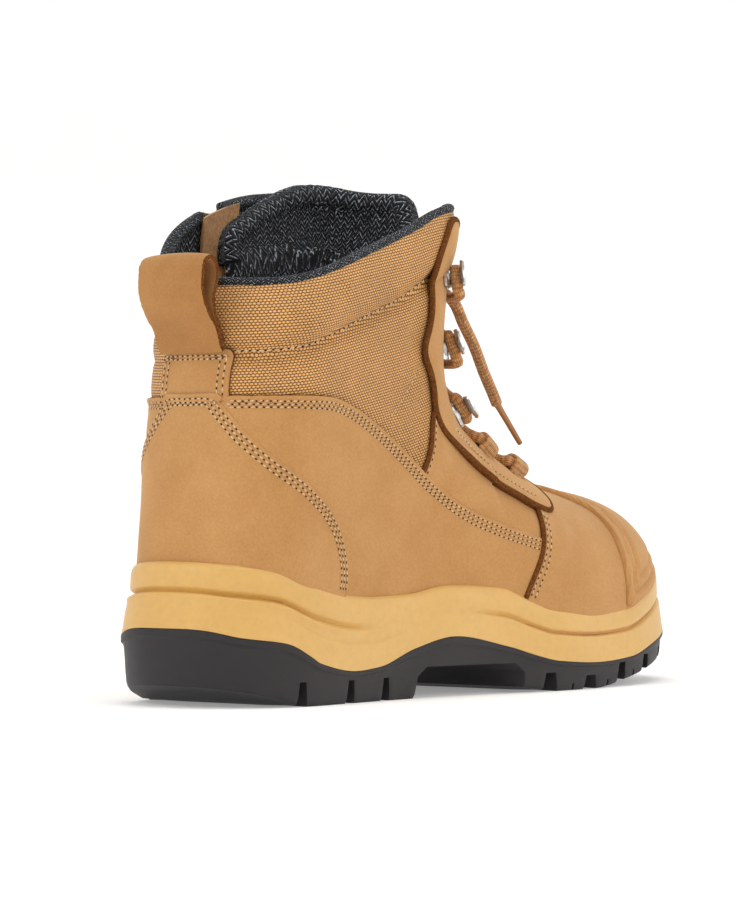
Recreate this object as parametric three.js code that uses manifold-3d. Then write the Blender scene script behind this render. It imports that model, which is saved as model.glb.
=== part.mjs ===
// A zip-sided safety boot for the right foot, built as the pieces that a bootmaker puts together.
// Millimetres. +X points to the toe, +Y to the inner side of the foot, +Z up. The origin is on the
// floor, under the middle of the heel. Inside this file x is counted from the back of the sole.
import * as THREE from "three";
import { mergeVertices } from "three/addons/utils/BufferGeometryUtils.js";
import Module from "manifold-3d";

const wasm = await Module();
wasm.setup();

// Driving dimensions of the sole
const SOLE_LENGTH = 305;
const BALL_WIDTH = 113;
const HEEL_WIDTH = 84;
const HEEL_LIP_HEIGHT = 54;
const LIP_WIDTH = 7;
const LUG_DEPTH = 8;
const LUG_GAP = 5;
const HEEL_LENGTH = 100;
const FOREFOOT_START = 160;
const ARCH_CLEARANCE = 12;
const INSOLE_THICKNESS = 5;

// Driving dimensions of the upper
const BOOT_HEIGHT = 198;
const SHAFT_WIDTH = 74;
const COLLAR_BAND = 26;
const COLLAR_PUFF = 3;
const WALL = 3;
const LEATHER = 1.2;
const VAMP_STEP = 1;
const OVERLAY = 1.6;
const BUMPER = 2.4;
const CLEARANCE = 0.3;
const THROAT_WIDTH = 40;
const TONGUE_THICKNESS = 6;
const EYESTAY_WIDTH = 15;
const HOLDER_INSET = 0.4; // how far onto the eyestay the hooks and webbing stand, as a share of its width
const EYESTAY_THICKNESS = 1.4;

// Small hard pieces and cords
const LACE_DIAMETER = 4.5;
const AGLET_DIAMETER = 2.6;
const AGLET_LENGTH = 22;
const HOOK_WIDTH = 9;
const HOOK_REACH = 10;
const HOOK_STEEL = 1.2;
const WEBBING_WIDTH = 9;
const WEBBING_THICKNESS = 1.5;
const LOOP_WIDTH = 30;
const LOOP_LEATHER = 2.2;
const ZIP_X = 72;
const ZIP_SLOT = 12;
const ZIP_TEETH_WIDTH = 5;
const ZIP_BOTTOM = 66;
const ZIP_TAPE = 1;
const GUARD_WIDTH = 22;
const GUARD_THICKNESS = 1.2;
const SLIDER_WIDTH = 9;
const SLIDER_HEIGHT = 12;
const TAB_WIDTH = 7;
const TAB_LENGTH = 24;
const TAB_THICKNESS = 1.6;
const PIN_RADIUS = 0.8;

// How finely the curved forms are faceted
const STATIONS = 30;
const RING = 20;
const OUTLINE = 36;

const FAR = 400;

// How far the last runs on below its bed where the upper is open to the sole.
const OPEN = 30;

// The sole in plan: each half width as a share of the local width, which runs from heel to ball,
// and the lip's width as a share of its width at the heel.
const SOLE_PLAN = [
  { at: 0.0, lateral: 0.49, medial: 0.48, lip: 1.0 },
  { at: 0.15, lateral: 0.495, medial: 0.485, lip: 1.0 },
  { at: 0.3, lateral: 0.49, medial: 0.46, lip: 1.0 },
  { at: 0.43, lateral: 0.495, medial: 0.42, lip: 0.95 },
  { at: 0.57, lateral: 0.51, medial: 0.42, lip: 0.9 },
  { at: 0.7, lateral: 0.505, medial: 0.465, lip: 0.85 },
  { at: 0.84, lateral: 0.47, medial: 0.475, lip: 0.9 },
  { at: 0.94, lateral: 0.42, medial: 0.445, lip: 1.05 },
  { at: 1.0, lateral: 0.38, medial: 0.42, lip: 1.05 },
];

// Heights along the sole, as shares of the heel's lip height: the floor side of the tread, the line
// between rubber and foam, the lip round the upper, the foot's bed, and how far the grooves show.
const SOLE_SIDE = [
  { at: 0.0, tread: 0.15, rubber: 0.54, lip: 1.0, bed: 0.7, groove: 1.0 },
  { at: 0.035, tread: 0.12, rubber: 0.48, lip: 0.975, bed: 0.7, groove: 1.0 },
  { at: 0.085, tread: 0.05, rubber: 0.435, lip: 0.93, bed: 0.69, groove: 0.8 },
  { at: 0.12, tread: 0.0, rubber: 0.345, lip: 0.865, bed: 0.68, groove: 0.6 },
  { at: 0.14, tread: 0.0, rubber: 0.29, lip: 0.835, bed: 0.67, groove: 0.5 },
  { at: 0.21, tread: 0.0, rubber: 0.225, lip: 0.755, bed: 0.63, groove: 0.2 },
  { at: 0.26, tread: 0.0, rubber: 0.245, lip: 0.73, bed: 0.59, groove: 0.0 },
  { at: 0.33, tread: 0.0, rubber: 0.36, lip: 0.74, bed: 0.54, groove: 0.0 },
  { at: 0.4, tread: 0.04, rubber: 0.433, lip: 0.795, bed: 0.49, groove: 0.2 },
  { at: 0.49, tread: 0.06, rubber: 0.345, lip: 0.775, bed: 0.44, groove: 0.6 },
  { at: 0.54, tread: 0.03, rubber: 0.27, lip: 0.68, bed: 0.42, groove: 0.8 },
  { at: 0.58, tread: 0.0, rubber: 0.225, lip: 0.62, bed: 0.4, groove: 0.8 },
  { at: 0.67, tread: 0.0, rubber: 0.198, lip: 0.585, bed: 0.38, groove: 0.8 },
  { at: 0.75, tread: 0.055, rubber: 0.222, lip: 0.603, bed: 0.385, groove: 0.8 },
  { at: 0.82, tread: 0.12, rubber: 0.305, lip: 0.7, bed: 0.41, groove: 0.6 },
  { at: 0.88, tread: 0.175, rubber: 0.37, lip: 0.82, bed: 0.45, groove: 0.4 },
  { at: 0.94, tread: 0.22, rubber: 0.42, lip: 0.9, bed: 0.49, groove: 0.3 },
  { at: 1.0, tread: 0.26, rubber: 0.46, lip: 0.94, bed: 0.53, groove: 0.3 },
];

// Slices of the last from the nose of the toe to above the collar. bottom is where a slice leaves
// the bed, in sole lengths from the back, or how far up the back, in boot heights, if it is below
// zero. front and top are its upper end, in sole lengths and boot heights. crown is how far its
// front edge is rounded, in ball widths.
const SLICES = [
  { at: 0.0, bottom: 0.98, front: 0.98, top: 0.235, crown: 0.2 },
  { at: 0.05, bottom: 0.968, front: 0.974, top: 0.269, crown: 0.22 },
  { at: 0.11, bottom: 0.94, front: 0.954, top: 0.312, crown: 0.26 },
  { at: 0.17, bottom: 0.89, front: 0.915, top: 0.348, crown: 0.3 },
  { at: 0.24, bottom: 0.81, front: 0.84, top: 0.375, crown: 0.34 },
  { at: 0.31, bottom: 0.705, front: 0.746, top: 0.396, crown: 0.38 },
  { at: 0.38, bottom: 0.59, front: 0.66, top: 0.43, crown: 0.42 },
  { at: 0.45, bottom: 0.47, front: 0.587, top: 0.477, crown: 0.42 },
  { at: 0.52, bottom: 0.34, front: 0.528, top: 0.528, crown: 0.4 },
  { at: 0.58, bottom: 0.23, front: 0.493, top: 0.58, crown: 0.38 },
  { at: 0.64, bottom: 0.115, front: 0.477, top: 0.638, crown: 0.38 },
  { at: 0.7, bottom: 0.024, front: 0.472, top: 0.702, crown: 0.38 },
  { at: 0.76, bottom: -0.13, front: 0.476, top: 0.764, crown: 0.38 },
  { at: 0.82, bottom: -0.29, front: 0.487, top: 0.83, crown: 0.38 },
  { at: 0.9, bottom: -0.46, front: 0.501, top: 0.92, crown: 0.38 },
  { at: 1.0, bottom: -0.72, front: 0.511, top: 1.1, crown: 0.38 },
];

// The back of the last from the bed up, as a share of the sole's length, by share of boot height.
const BACK_LINE = [
  { at: 0.17, x: 0.0245 },
  { at: 0.28, x: 0.033 },
  { at: 0.38, x: 0.041 },
  { at: 0.48, x: 0.051 },
  { at: 0.56, x: 0.06 },
  { at: 0.63, x: 0.069 },
  { at: 0.73, x: 0.073 },
  { at: 0.81, x: 0.077 },
  { at: 1.2, x: 0.09 },
];

// Lines over the side of the upper, as shares of boot height by share of sole length: the collar
// on each side, and the top of the leather quarter.
const UPPER_LINES = [
  { at: -0.1, lateral: 0.782, medial: 0.79, quarter: 0.57 },
  { at: 0.03, lateral: 0.782, medial: 0.79, quarter: 0.57 },
  { at: 0.08, lateral: 0.788, medial: 0.82, quarter: 0.57 },
  { at: 0.13, lateral: 0.802, medial: 0.87, quarter: 0.567 },
  { at: 0.18, lateral: 0.826, medial: 0.92, quarter: 0.565 },
  { at: 0.24, lateral: 0.86, medial: 0.96, quarter: 0.54 },
  { at: 0.32, lateral: 0.903, medial: 0.99, quarter: 0.47 },
  { at: 0.4, lateral: 0.952, medial: 1.0, quarter: 0.39 },
  { at: 0.46, lateral: 0.968, medial: 0.99, quarter: 0.36 },
  { at: 0.7, lateral: 0.968, medial: 0.985, quarter: 0.3 },
];

const clamp = (value, low, high) => Math.min(high, Math.max(low, value));
const lerp = (a, b, share) => a + (b - a) * share;
const ease = (share) => THREE.MathUtils.smoothstep(share, 0, 1);

// A smooth curve through one column of a table, read at any share of its "at" column. It is level
// where the column turns, so that it never swings past its rows.
function curve(rows, column) {
  const at = rows.map((row) => row.at);
  const value = rows.map((row) => row[column]);
  const last = rows.length - 1;
  const slope = value.map((_, i) => {
    if (i === 0 || i === last) return 0;
    const before = (value[i] - value[i - 1]) / (at[i] - at[i - 1]);
    const after = (value[i + 1] - value[i]) / (at[i + 1] - at[i]);
    return before * after <= 0 ? 0 : (2 * before * after) / (before + after);
  });
  return (share) => {
    const t = clamp(share, at[0], at[last]);
    let i = 0;
    while (i < last - 1 && t > at[i + 1]) i++;
    const span = at[i + 1] - at[i];
    const k = (t - at[i]) / span;
    const rise = value[i + 1] - value[i];
    const bend = k * (1 - k) * span;
    return value[i] + rise * ease(k) + bend * (slope[i] * (1 - k) - slope[i + 1] * k);
  };
}

// The share of full width that is left at depth d inside a rounded edge.
function rounded(d, radius, power = 2.2) {
  if (d <= 0) return 0;
  if (d >= radius) return 1;
  return Math.pow(1 - Math.pow(1 - d / radius, power), 1 / power);
}

const plan = {
  lateral: curve(SOLE_PLAN, "lateral"),
  medial: curve(SOLE_PLAN, "medial"),
  lip: curve(SOLE_PLAN, "lip"),
};
const side = {
  tread: curve(SOLE_SIDE, "tread"),
  rubber: curve(SOLE_SIDE, "rubber"),
  lip: curve(SOLE_SIDE, "lip"),
  bed: curve(SOLE_SIDE, "bed"),
  groove: curve(SOLE_SIDE, "groove"),
};
const slice = {
  bottom: curve(SLICES, "bottom"),
  front: curve(SLICES, "front"),
  top: curve(SLICES, "top"),
  crown: curve(SLICES, "crown"),
};
const backShare = curve(BACK_LINE, "x");
const line = {
  lateral: curve(UPPER_LINES, "lateral"),
  medial: curve(UPPER_LINES, "medial"),
  quarter: curve(UPPER_LINES, "quarter"),
};

const sideHeight = (name, x) => side[name](x / SOLE_LENGTH) * HEEL_LIP_HEIGHT;
const bed = (x) => sideHeight("bed", x);
const collarHeight = (x, hand) => line[hand](x / SOLE_LENGTH) * BOOT_HEIGHT;
const quarterHeight = (x) => line.quarter(x / SOLE_LENGTH) * BOOT_HEIGHT;

// Half the sole's width before its ends are rounded.
function planWidth(x, hand) {
  const at = x / SOLE_LENGTH;
  const local = lerp(HEEL_WIDTH, BALL_WIDTH, ease((at - 0.28) / 0.37));
  return plan[hand](at) * local;
}

const lipWidth = (x) => plan.lip(x / SOLE_LENGTH) * LIP_WIDTH;

const TOE_ROUND = { lateral: 0.66 * BALL_WIDTH, medial: 0.56 * BALL_WIDTH };
const HEEL_ROUND = 0.5 * HEEL_WIDTH;

// The middle of the last leans towards the inner side at the toe.
const middle = (x) => 0.045 * BALL_WIDTH * ease((x / SOLE_LENGTH - 0.45) / 0.5);

// The padding stands out between the collar, the quilting seam and the leather quarter.
function padding(x, z, hand) {
  const collar = collarHeight(x, hand);
  const quilt = collar - COLLAR_BAND;
  const quarter = quarterHeight(x);
  const k = z > quilt ? (z - quilt) / (collar - quilt) : (z - quarter) / (quilt - quarter);
  if (k <= 0 || k >= 1 || x > 0.5 * SOLE_LENGTH) return 0;
  const full = z > quilt ? 1 : 0.7;
  return COLLAR_PUFF * full * Math.sqrt(4 * k * (1 - k));
}

const backX = (z) => backShare(z / BOOT_HEIGHT) * SOLE_LENGTH - padding(0, z, "lateral");

// Half the last's width at a place in its side view, before the front edge is rounded.
const BED_ROUND = 4;
function lastWidth(x, z, hand, inset, open) {
  const foot = planWidth(x, hand) - lipWidth(x) + (hand === "lateral" ? 1 : -1) * middle(x);
  const shaft = SHAFT_WIDTH / 2;
  const full = lerp(foot, shaft, ease((z / BOOT_HEIGHT - 0.33) / 0.24)) + padding(x, z, hand);
  const heel = rounded(x - backX(z) - inset, HEEL_ROUND - LIP_WIDTH - inset);
  const nose = SOLE_LENGTH - lipWidth(x) - inset;
  const toe = rounded(nose - x, TOE_ROUND[hand] - LIP_WIDTH - inset);
  const depth = clamp((z - bed(x) - inset) / BED_ROUND, 0, 1);
  const corner = open ? 0 : BED_ROUND * (1 - Math.sqrt(1 - (1 - depth) ** 2));
  return Math.max((full - inset) * heel * toe - corner, 0.3);
}

// The two ends of a slice of the last, and its direction from the bed or back to the front.
function sliceLine(t, inset, drop) {
  const bottom = slice.bottom(t);
  const cornerX = backX(bed(0));
  const onBed = bottom * SOLE_LENGTH >= cornerX - 1;
  const up = Math.max(cornerX / SOLE_LENGTH - bottom, 0) * BOOT_HEIGHT;
  const lowX = onBed ? bottom * SOLE_LENGTH : backX(bed(0) + up);
  const low = new THREE.Vector3(lowX, 0, onBed ? bed(lowX) : bed(0) + up);
  const high = new THREE.Vector3(slice.front(t) * SOLE_LENGTH, 0, slice.top(t) * BOOT_HEIGHT);
  const nose = SOLE_LENGTH - lipWidth(SOLE_LENGTH) - inset - 0.3;
  const grow = clamp((t - 0.2) / -0.2, 0, 1) * inset;
  low.x = Math.min(low.x - grow, nose);
  high.x = Math.min(high.x - grow, nose);
  const along = high.clone().sub(low).normalize();
  low.addScaledVector(along, onBed ? inset - drop : inset);
  high.addScaledVector(along, -inset);
  return { low, high, along };
}

// One ring of the last's surface, from the bottom or back round the lateral side.
function lastRing(t, inset, drop) {
  const { low, high } = sliceLine(t, inset, drop);
  const length = high.distanceTo(low);
  const crown = Math.max(slice.crown(t) * BALL_WIDTH - inset, 2);
  return Array.from({ length: RING }, (_, j) => {
    const turn = Math.min(j, RING - j);
    const share = (1 - Math.cos((Math.PI * Math.max(turn - 1, 0)) / (RING / 2 - 1))) / 2;
    const p = low.clone().lerp(high, share);
    const sign = j < RING / 2 ? -1 : 1;
    const atEnd = turn === 0 || turn === RING / 2;
    const front = rounded((1 - share) * length, crown);
    const width = lastWidth(p.x, p.z, sign < 0 ? "lateral" : "medial", inset, drop > 0) * front;
    p.y = middle(p.x) + (atEnd ? 0 : sign * width);
    return p;
  });
}

// A solid from triangles between rings of equally many points. A ring that runs down one side and
// back up the other is closed by rungs between its two sides, and any other one by a fan.
function loft(rings, rungs = false) {
  const count = rings[0].length;
  const points = rings.flat();
  const faces = [];
  for (let i = 0; i < rings.length - 1; i++) {
    for (let j = 0; j < count; j++) {
      const a = i * count + j;
      const b = i * count + ((j + 1) % count);
      faces.push([a, b, b + count], [a, b + count, a + count]);
    }
  }
  const last = (rings.length - 1) * count;
  for (const [start, turn] of [
    [0, 1],
    [last, 0],
  ]) {
    for (let j = 1; j < count - 1; j++) {
      const rung = rungs && j < count / 2;
      if (rungs && !rung) break;
      const quad = [start + j, start + j + 1, start + count - j - 1, start + count - j];
      const fan = [start, start + j, start + j + 1];
      const made = rung ? [[quad[0], quad[1], quad[2]], [quad[0], quad[2], quad[3]]] : [fan];
      for (const face of made) faces.push(turn ? face.reverse() : face);
    }
    if (rungs) {
      const tip = [start, start + 1, start + count - 1];
      faces.push(turn ? tip.reverse() : tip);
    }
  }
  return solid(points, faces);
}

// A solid of manifold-3d from points and triangles, with its faces turned outwards.
function solid(points, faces) {
  const geometry = new THREE.BufferGeometry();
  const corners = faces.flat().flatMap((i) => points[i].toArray());
  geometry.setAttribute("position", new THREE.Float32BufferAttribute(corners, 3));
  return fromGeometry(geometry);
}

function fromGeometry(geometry) {
  const bare = new THREE.BufferGeometry();
  const source = geometry.index ? geometry.toNonIndexed() : geometry;
  bare.setAttribute("position", source.getAttribute("position"));
  const merged = mergeVertices(bare, 1e-3);
  const index = [];
  for (let i = 0; i < merged.index.count; i += 3) {
    const [a, b, c] = [0, 1, 2].map((k) => merged.index.getX(i + k));
    if (a !== b && b !== c && a !== c) index.push(a, b, c);
  }
  const build = (triVerts) =>
    new wasm.Manifold(
      new wasm.Mesh({
        numProp: 3,
        vertProperties: new Float32Array(merged.attributes.position.array),
        triVerts: new Uint32Array(triVerts),
      }),
    );
  const made = build(index);
  if (made.volume() > 0) return made;
  const turned = [];
  for (let i = 0; i < index.length; i += 3) turned.push(index[i], index[i + 2], index[i + 1]);
  return build(turned);
}

// The last as a closed solid, shrunk by inset; drop lets it run through the bed.
const forms = new Map();
function form(inset, drop = 0) {
  const key = `${inset.toFixed(3)} ${drop}`;
  if (!forms.has(key)) {
    const rings = steps(0, 1, STATIONS).map((t) => lastRing(t, inset, drop));
    forms.set(key, loft(rings, true));
  }
  return forms.get(key);
}

// A prism across the boot from a closed outline in the side view, between two y positions.
function acrossPrism(outline, fromY = -FAR, toY = FAR) {
  const shape = new THREE.Shape(outline.map(([x, z]) => new THREE.Vector2(x, z)));
  const geometry = new THREE.ExtrudeGeometry(shape, { depth: toY - fromY, bevelEnabled: false });
  geometry.rotateX(Math.PI / 2);
  geometry.translate(0, toY, 0);
  return fromGeometry(geometry);
}

const steps = (from, to, count) =>
  Array.from({ length: count + 1 }, (_, i) => lerp(from, to, i / count));

// Everything above the collar, whose height runs from the lateral line to the medial one.
function aboveCollar(lift = 0) {
  const reach = SHAFT_WIDTH;
  const rings = steps(-0.15, 0.75, 24).map((at) => {
    const x = at * SOLE_LENGTH;
    const rim = steps(-reach, reach, 6).map((y) => {
      const share = ease(y / SHAFT_WIDTH + 0.5);
      const z = lerp(collarHeight(x, "lateral"), collarHeight(x, "medial"), share) + lift;
      return new THREE.Vector3(x, y, z);
    });
    return [...rim, new THREE.Vector3(x, reach, FAR), new THREE.Vector3(x, -reach, FAR)];
  });
  return loft(rings);
}

// The throat: a slot along the front of the last, from its lower end at the vamp to above the collar.
const THROAT_START = 0.375;
const THROAT_SPREAD = 0.3;
function throatBlock(halfWidth, inner, outer, from = THROAT_START, roundEnd = 0.06) {
  const rings = steps(from, 1, 22).map((t) => {
    const { high, along } = sliceLine(t, 0, 0);
    const half = halfWidth * rounded(t - from + 0.004, roundEnd, 2);
    const spread = 1 + THROAT_SPREAD * ease((t - 0.55) / 0.35);
    const y = middle(high.x);
    const inside = high.clone().addScaledVector(along, -inner);
    const outside = high.clone().addScaledVector(along, outer);
    return [
      [inside, -1],
      [inside, 1],
      [outside, 1],
      [outside, -1],
    ].map(([p, sign]) => new THREE.Vector3(p.x, y + sign * half * spread, p.z));
  });
  return loft(rings);
}

// A prism upright through the sole from a closed outline in plan, between two heights.
function uprightPrism(outline, low, high) {
  const shape = new THREE.Shape(outline.map(([x, y]) => new THREE.Vector2(x, y)));
  const geometry = new THREE.ExtrudeGeometry(shape, { depth: high - low, bevelEnabled: false });
  geometry.translate(0, 0, low);
  return fromGeometry(geometry);
}

// One ring of the sole's outline, moved in by inset(x), at height(x).
function soleRing(inset, height) {
  const back = inset(0);
  const front = SOLE_LENGTH - inset(SOLE_LENGTH);
  return Array.from({ length: OUTLINE }, (_, j) => {
    const angle = (2 * Math.PI * j) / OUTLINE;
    const x = lerp(back, front, (1 - Math.cos(angle)) / 2);
    const sign = Math.sin(angle) > 0 ? -1 : 1;
    const hand = sign < 0 ? "lateral" : "medial";
    const atEnd = Math.abs(Math.sin(angle)) < 1e-6;
    const heel = rounded(x - inset(x), HEEL_ROUND - inset(x));
    const toe = rounded(SOLE_LENGTH - inset(x) - x, TOE_ROUND[hand] - inset(x));
    const half = atEnd ? 0 : (planWidth(x, hand) - inset(x)) * heel * toe;
    return new THREE.Vector3(x, sign * half, height(x));
  });
}

// The foam unit's side from the rubber up to the lip: how far each level stands in from the
// outline, and how much deeper the grooves cut there, in lip widths.
const FOAM_SIDE = [
  { at: 0.0, inset: 0.0, groove: 0.0 },
  { at: 0.26, inset: 0.17, groove: 0.0 },
  { at: 0.48, inset: 0.33, groove: 0.0 },
  { at: 0.56, inset: 0.36, groove: 0.17 },
  { at: 0.64, inset: 0.37, groove: 0.0 },
  { at: 0.84, inset: 0.4, groove: 0.0 },
  { at: 0.95, inset: 0.54, groove: 0.0 },
  { at: 1.0, inset: 0.77, groove: 0.0 },
];

// The rubber unit's side from the tread up to the foam, in lip widths.
const RUBBER_SIDE = [
  { at: 0.0, inset: 0.51 },
  { at: 0.16, inset: 0.29 },
  { at: 0.78, inset: 0.13 },
  { at: 0.86, inset: 0.0 },
  { at: 1.0, inset: 0.0 },
];

// Where the leather of the quarter and the vamp ends, in the side view, as shares of the sole's
// length and the boot's height. Each is closed well below and in front of the boot.
const QUARTER_EDGE = [
  { x: -0.2, z: 0.567 },
  { x: 0.19, z: 0.567 },
  { x: 0.226, z: 0.55 },
  { x: 0.265, z: 0.51 },
  { x: 0.36, z: 0.43 },
  { x: 0.375, z: 0.5 },
  { x: 0.385, z: 0.6 },
  { x: 0.385, z: 0.72 },
  { x: 0.4, z: 0.82 },
  { x: 0.43, z: 1.3 },
  { x: 1.5, z: 1.3 },
  { x: 1.5, z: -0.3 },
  { x: -0.2, z: -0.3 },
];
const VAMP_EDGE = [
  { x: 0.7, z: 0.6 },
  { x: 0.685, z: 0.36 },
  { x: 0.66, z: 0.345 },
  { x: 0.6, z: 0.36 },
  { x: 0.572, z: 0.365 },
  { x: 0.57, z: 0.3 },
  { x: 0.557, z: 0.25 },
  { x: 0.53, z: 0.18 },
  { x: 0.53, z: -0.3 },
  { x: 1.5, z: -0.3 },
  { x: 1.5, z: 0.6 },
];
const outlineOf = (rows) => rows.map((row) => [row.x * SOLE_LENGTH, row.z * BOOT_HEIGHT]);

// The upper's outside with its leather steps, grown by extra.
function outside(extra) {
  const quarter = form(-LEATHER - extra).intersect(acrossPrism(outlineOf(QUARTER_EDGE)));
  const vamp = form(-LEATHER - VAMP_STEP - extra).intersect(acrossPrism(outlineOf(VAMP_EDGE)));
  return form(-extra).add(quarter).add(vamp);
}

function makeMidsole() {
  const rings = FOAM_SIDE.map((row) =>
    soleRing(
      (x) => (row.inset + row.groove * side.groove(x / SOLE_LENGTH)) * LIP_WIDTH,
      (x) => lerp(sideHeight("rubber", x), sideHeight("lip", x), row.at),
    ),
  );
  return loft(rings, true).subtract(outside(CLEARANCE));
}

// The gaps between the lugs, cut in from each side: where, how wide and how high in shares of the
// lug gap and depth, how near the middle line they reach, and how far they lean forwards there.
const LUG_GAPS = [
  { at: 0.039, width: 0.5, high: 0.45, reach: 0.6, lean: 0.5 },
  { at: 0.111, width: 1.2, high: 1.1, reach: 0.4, lean: 1 },
  { at: 0.203, width: 1.2, high: 1.1, reach: 0.4, lean: 1 },
  { at: 0.275, width: 1.2, high: 1.1, reach: 0.4, lean: 1 },
  { at: 0.567, width: 1.3, high: 0.9, reach: 0.3, lean: 2 },
  { at: 0.613, width: 0.4, high: 0.35, reach: 0.75, lean: 0.5 },
  { at: 0.652, width: 1.5, high: 0.7, reach: 0.4, lean: 2 },
  { at: 0.695, width: 0.4, high: 0.35, reach: 0.75, lean: 0.5 },
  { at: 0.73, width: 1.0, high: 1.0, reach: 0.3, lean: 2 },
  { at: 0.764, width: 0.4, high: 0.35, reach: 0.75, lean: 0.5 },
  { at: 0.802, width: 1.0, high: 0.85, reach: 0.3, lean: 2 },
  { at: 0.87, width: 1.0, high: 0.7, reach: 0.4, lean: 2 },
  { at: 0.93, width: 1.0, high: 0.6, reach: 0.5, lean: 2 },
];
function lugGap(row) {
  const x = row.at * SOLE_LENGTH;
  const half = (row.width * LUG_GAP) / 2;
  const shift = row.lean * LUG_GAP;
  const top = sideHeight("tread", x) + row.high * LUG_DEPTH;
  const cuts = ["lateral", "medial"].map((hand) => {
    const sign = hand === "lateral" ? -1 : 1;
    const outer = sign * BALL_WIDTH;
    const inner = sign * row.reach * planWidth(x, hand);
    const edge = sign * planWidth(x, hand);
    const slope = shift / (edge - inner);
    const outerShift = (edge - outer) * slope;
    return uprightPrism(
      [
        [x - half + outerShift, outer],
        [x + half + outerShift, outer],
        [x + half + shift, inner],
        [x - half + shift, inner],
      ],
      -LUG_DEPTH,
      top,
    );
  });
  return cuts[0].add(cuts[1]);
}

function makeOutsole() {
  const rings = RUBBER_SIDE.map((row) =>
    soleRing(
      () => row.inset * LIP_WIDTH,
      (x) => lerp(sideHeight("tread", x), sideHeight("rubber", x) - CLEARANCE, row.at),
    ),
  );
  const arch = acrossPrism([
    [HEEL_LENGTH, -LUG_DEPTH],
    [HEEL_LENGTH + 3, 0.7 * ARCH_CLEARANCE],
    [HEEL_LENGTH + 8, ARCH_CLEARANCE],
    [FOREFOOT_START - 6, ARCH_CLEARANCE],
    [FOREFOOT_START - 1, 0.7 * ARCH_CLEARANCE],
    [FOREFOOT_START, -LUG_DEPTH],
  ]);
  return LUG_GAPS.reduce((made, row) => made.subtract(lugGap(row)), loft(rings, true).subtract(arch));
}

// A layer of the last's own surface, standing off by base.
const layer = (base, thickness) => form(-base - thickness).subtract(form(-base));

// Everything above the sole's lip, with a gap.
function aboveLip() {
  const lip = steps(-0.1, 1.1, 40).map((at) => {
    const x = at * SOLE_LENGTH;
    return [x, sideHeight("lip", x) + 2 * CLEARANCE];
  });
  return acrossPrism([...lip, [1.1 * SOLE_LENGTH, FAR], [-0.1 * SOLE_LENGTH, FAR]]);
}

// A prism along the boot from a closed outline seen from behind, between two x positions.
function alongPrism(outline, fromX = -FAR, toX = FAR) {
  const shape = new THREE.Shape(outline.map(([y, z]) => new THREE.Vector2(y, z)));
  const geometry = new THREE.ExtrudeGeometry(shape, { depth: toX - fromX, bevelEnabled: false });
  const turn = new THREE.Matrix4().makeBasis(
    new THREE.Vector3(0, 1, 0),
    new THREE.Vector3(0, 0, 1),
    new THREE.Vector3(1, 0, 0),
  );
  geometry.applyMatrix4(turn);
  geometry.translate(fromX, 0, 0);
  return fromGeometry(geometry);
}

function box(from, to) {
  const geometry = new THREE.BoxGeometry(to[0] - from[0], to[1] - from[1], to[2] - from[2]);
  geometry.translate((from[0] + to[0]) / 2, (from[1] + to[1]) / 2, (from[2] + to[2]) / 2);
  return fromGeometry(geometry);
}

// Everything on one side of the middle line.
function halfSpace(hand) {
  const [fromY, toY] = hand === "lateral" ? [-FAR, 0] : [0, FAR];
  return box([-FAR, fromY, -FAR], [FAR, toY, FAR]);
}

// The zip's strip on the inner side, between two distances from its middle line.
function zipStrip(from, to, low, high) {
  return box([ZIP_X + from, 0, low], [ZIP_X + to, FAR, high]);
}

function makeUpper() {
  return outside(0)
    .subtract(form(WALL, OPEN))
    .subtract(aboveCollar())
    .subtract(throatBlock(THROAT_WIDTH / 2, 30, 30))
    .subtract(zipStrip(-ZIP_SLOT / 2, ZIP_SLOT / 2, ZIP_BOTTOM, FAR));
}

// The footbed, between the walls of the upper.
function makeInsole() {
  const along = steps(-0.1, 1.1, 18).map((at) => at * SOLE_LENGTH);
  const top = along.map((x) => [x, bed(x) + INSOLE_THICKNESS]);
  const under = along.map((x) => [x, bed(x)]).reverse();
  const back = backX(bed(0)) + WALL + CLEARANCE;
  return form(WALL + CLEARANCE, OPEN)
    .intersect(acrossPrism([...top, ...under]))
    .intersect(box([back, -FAR, -FAR], [FAR, FAR, FAR]));
}

// The counter's top and front edge in the side view.
const COUNTER_EDGE = [
  { x: -0.2, z: 0.565 },
  { x: 0.062, z: 0.565 },
  { x: 0.066, z: 0.535 },
  { x: 0.08, z: 0.495 },
  { x: 0.112, z: 0.45 },
  { x: 0.165, z: 0.4 },
  { x: 0.207, z: 0.345 },
  { x: 0.222, z: 0.288 },
  { x: 0.224, z: 0.24 },
  { x: 0.22, z: 0.1 },
  { x: -0.2, z: 0.1 },
];
const BUMPER_EDGE = [
  { x: 0.765, z: 0.6 },
  { x: 0.765, z: 0.405 },
  { x: 0.745, z: 0.37 },
  { x: 0.735, z: 0.335 },
  { x: 0.745, z: 0.3 },
  { x: 0.762, z: 0.25 },
  { x: 0.772, z: 0.2 },
  { x: 0.77, z: 0.1 },
  { x: 1.3, z: 0.1 },
  { x: 1.3, z: 0.6 },
];
const EYESTAY_EDGE = [
  { x: 0.45, z: 1.3 },
  { x: 0.434, z: 0.94 },
  { x: 0.42, z: 0.865 },
  { x: 0.403, z: 0.79 },
  { x: 0.398, z: 0.715 },
  { x: 0.393, z: 0.655 },
  { x: 0.402, z: 0.62 },
  { x: 0.398, z: 0.555 },
  { x: 0.41, z: 0.525 },
  { x: 0.44, z: 0.478 },
  { x: 0.49, z: 0.43 },
  { x: 0.545, z: 0.395 },
  { x: 0.6, z: 0.372 },
  { x: 0.66, z: 0.358 },
  { x: 0.676, z: 0.38 },
  { x: 0.69, z: 0.6 },
  { x: 0.69, z: 1.3 },
];

const makeCounter = () =>
  layer(LEATHER + CLEARANCE, OVERLAY).intersect(acrossPrism(outlineOf(COUNTER_EDGE))).intersect(aboveLip());

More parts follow.
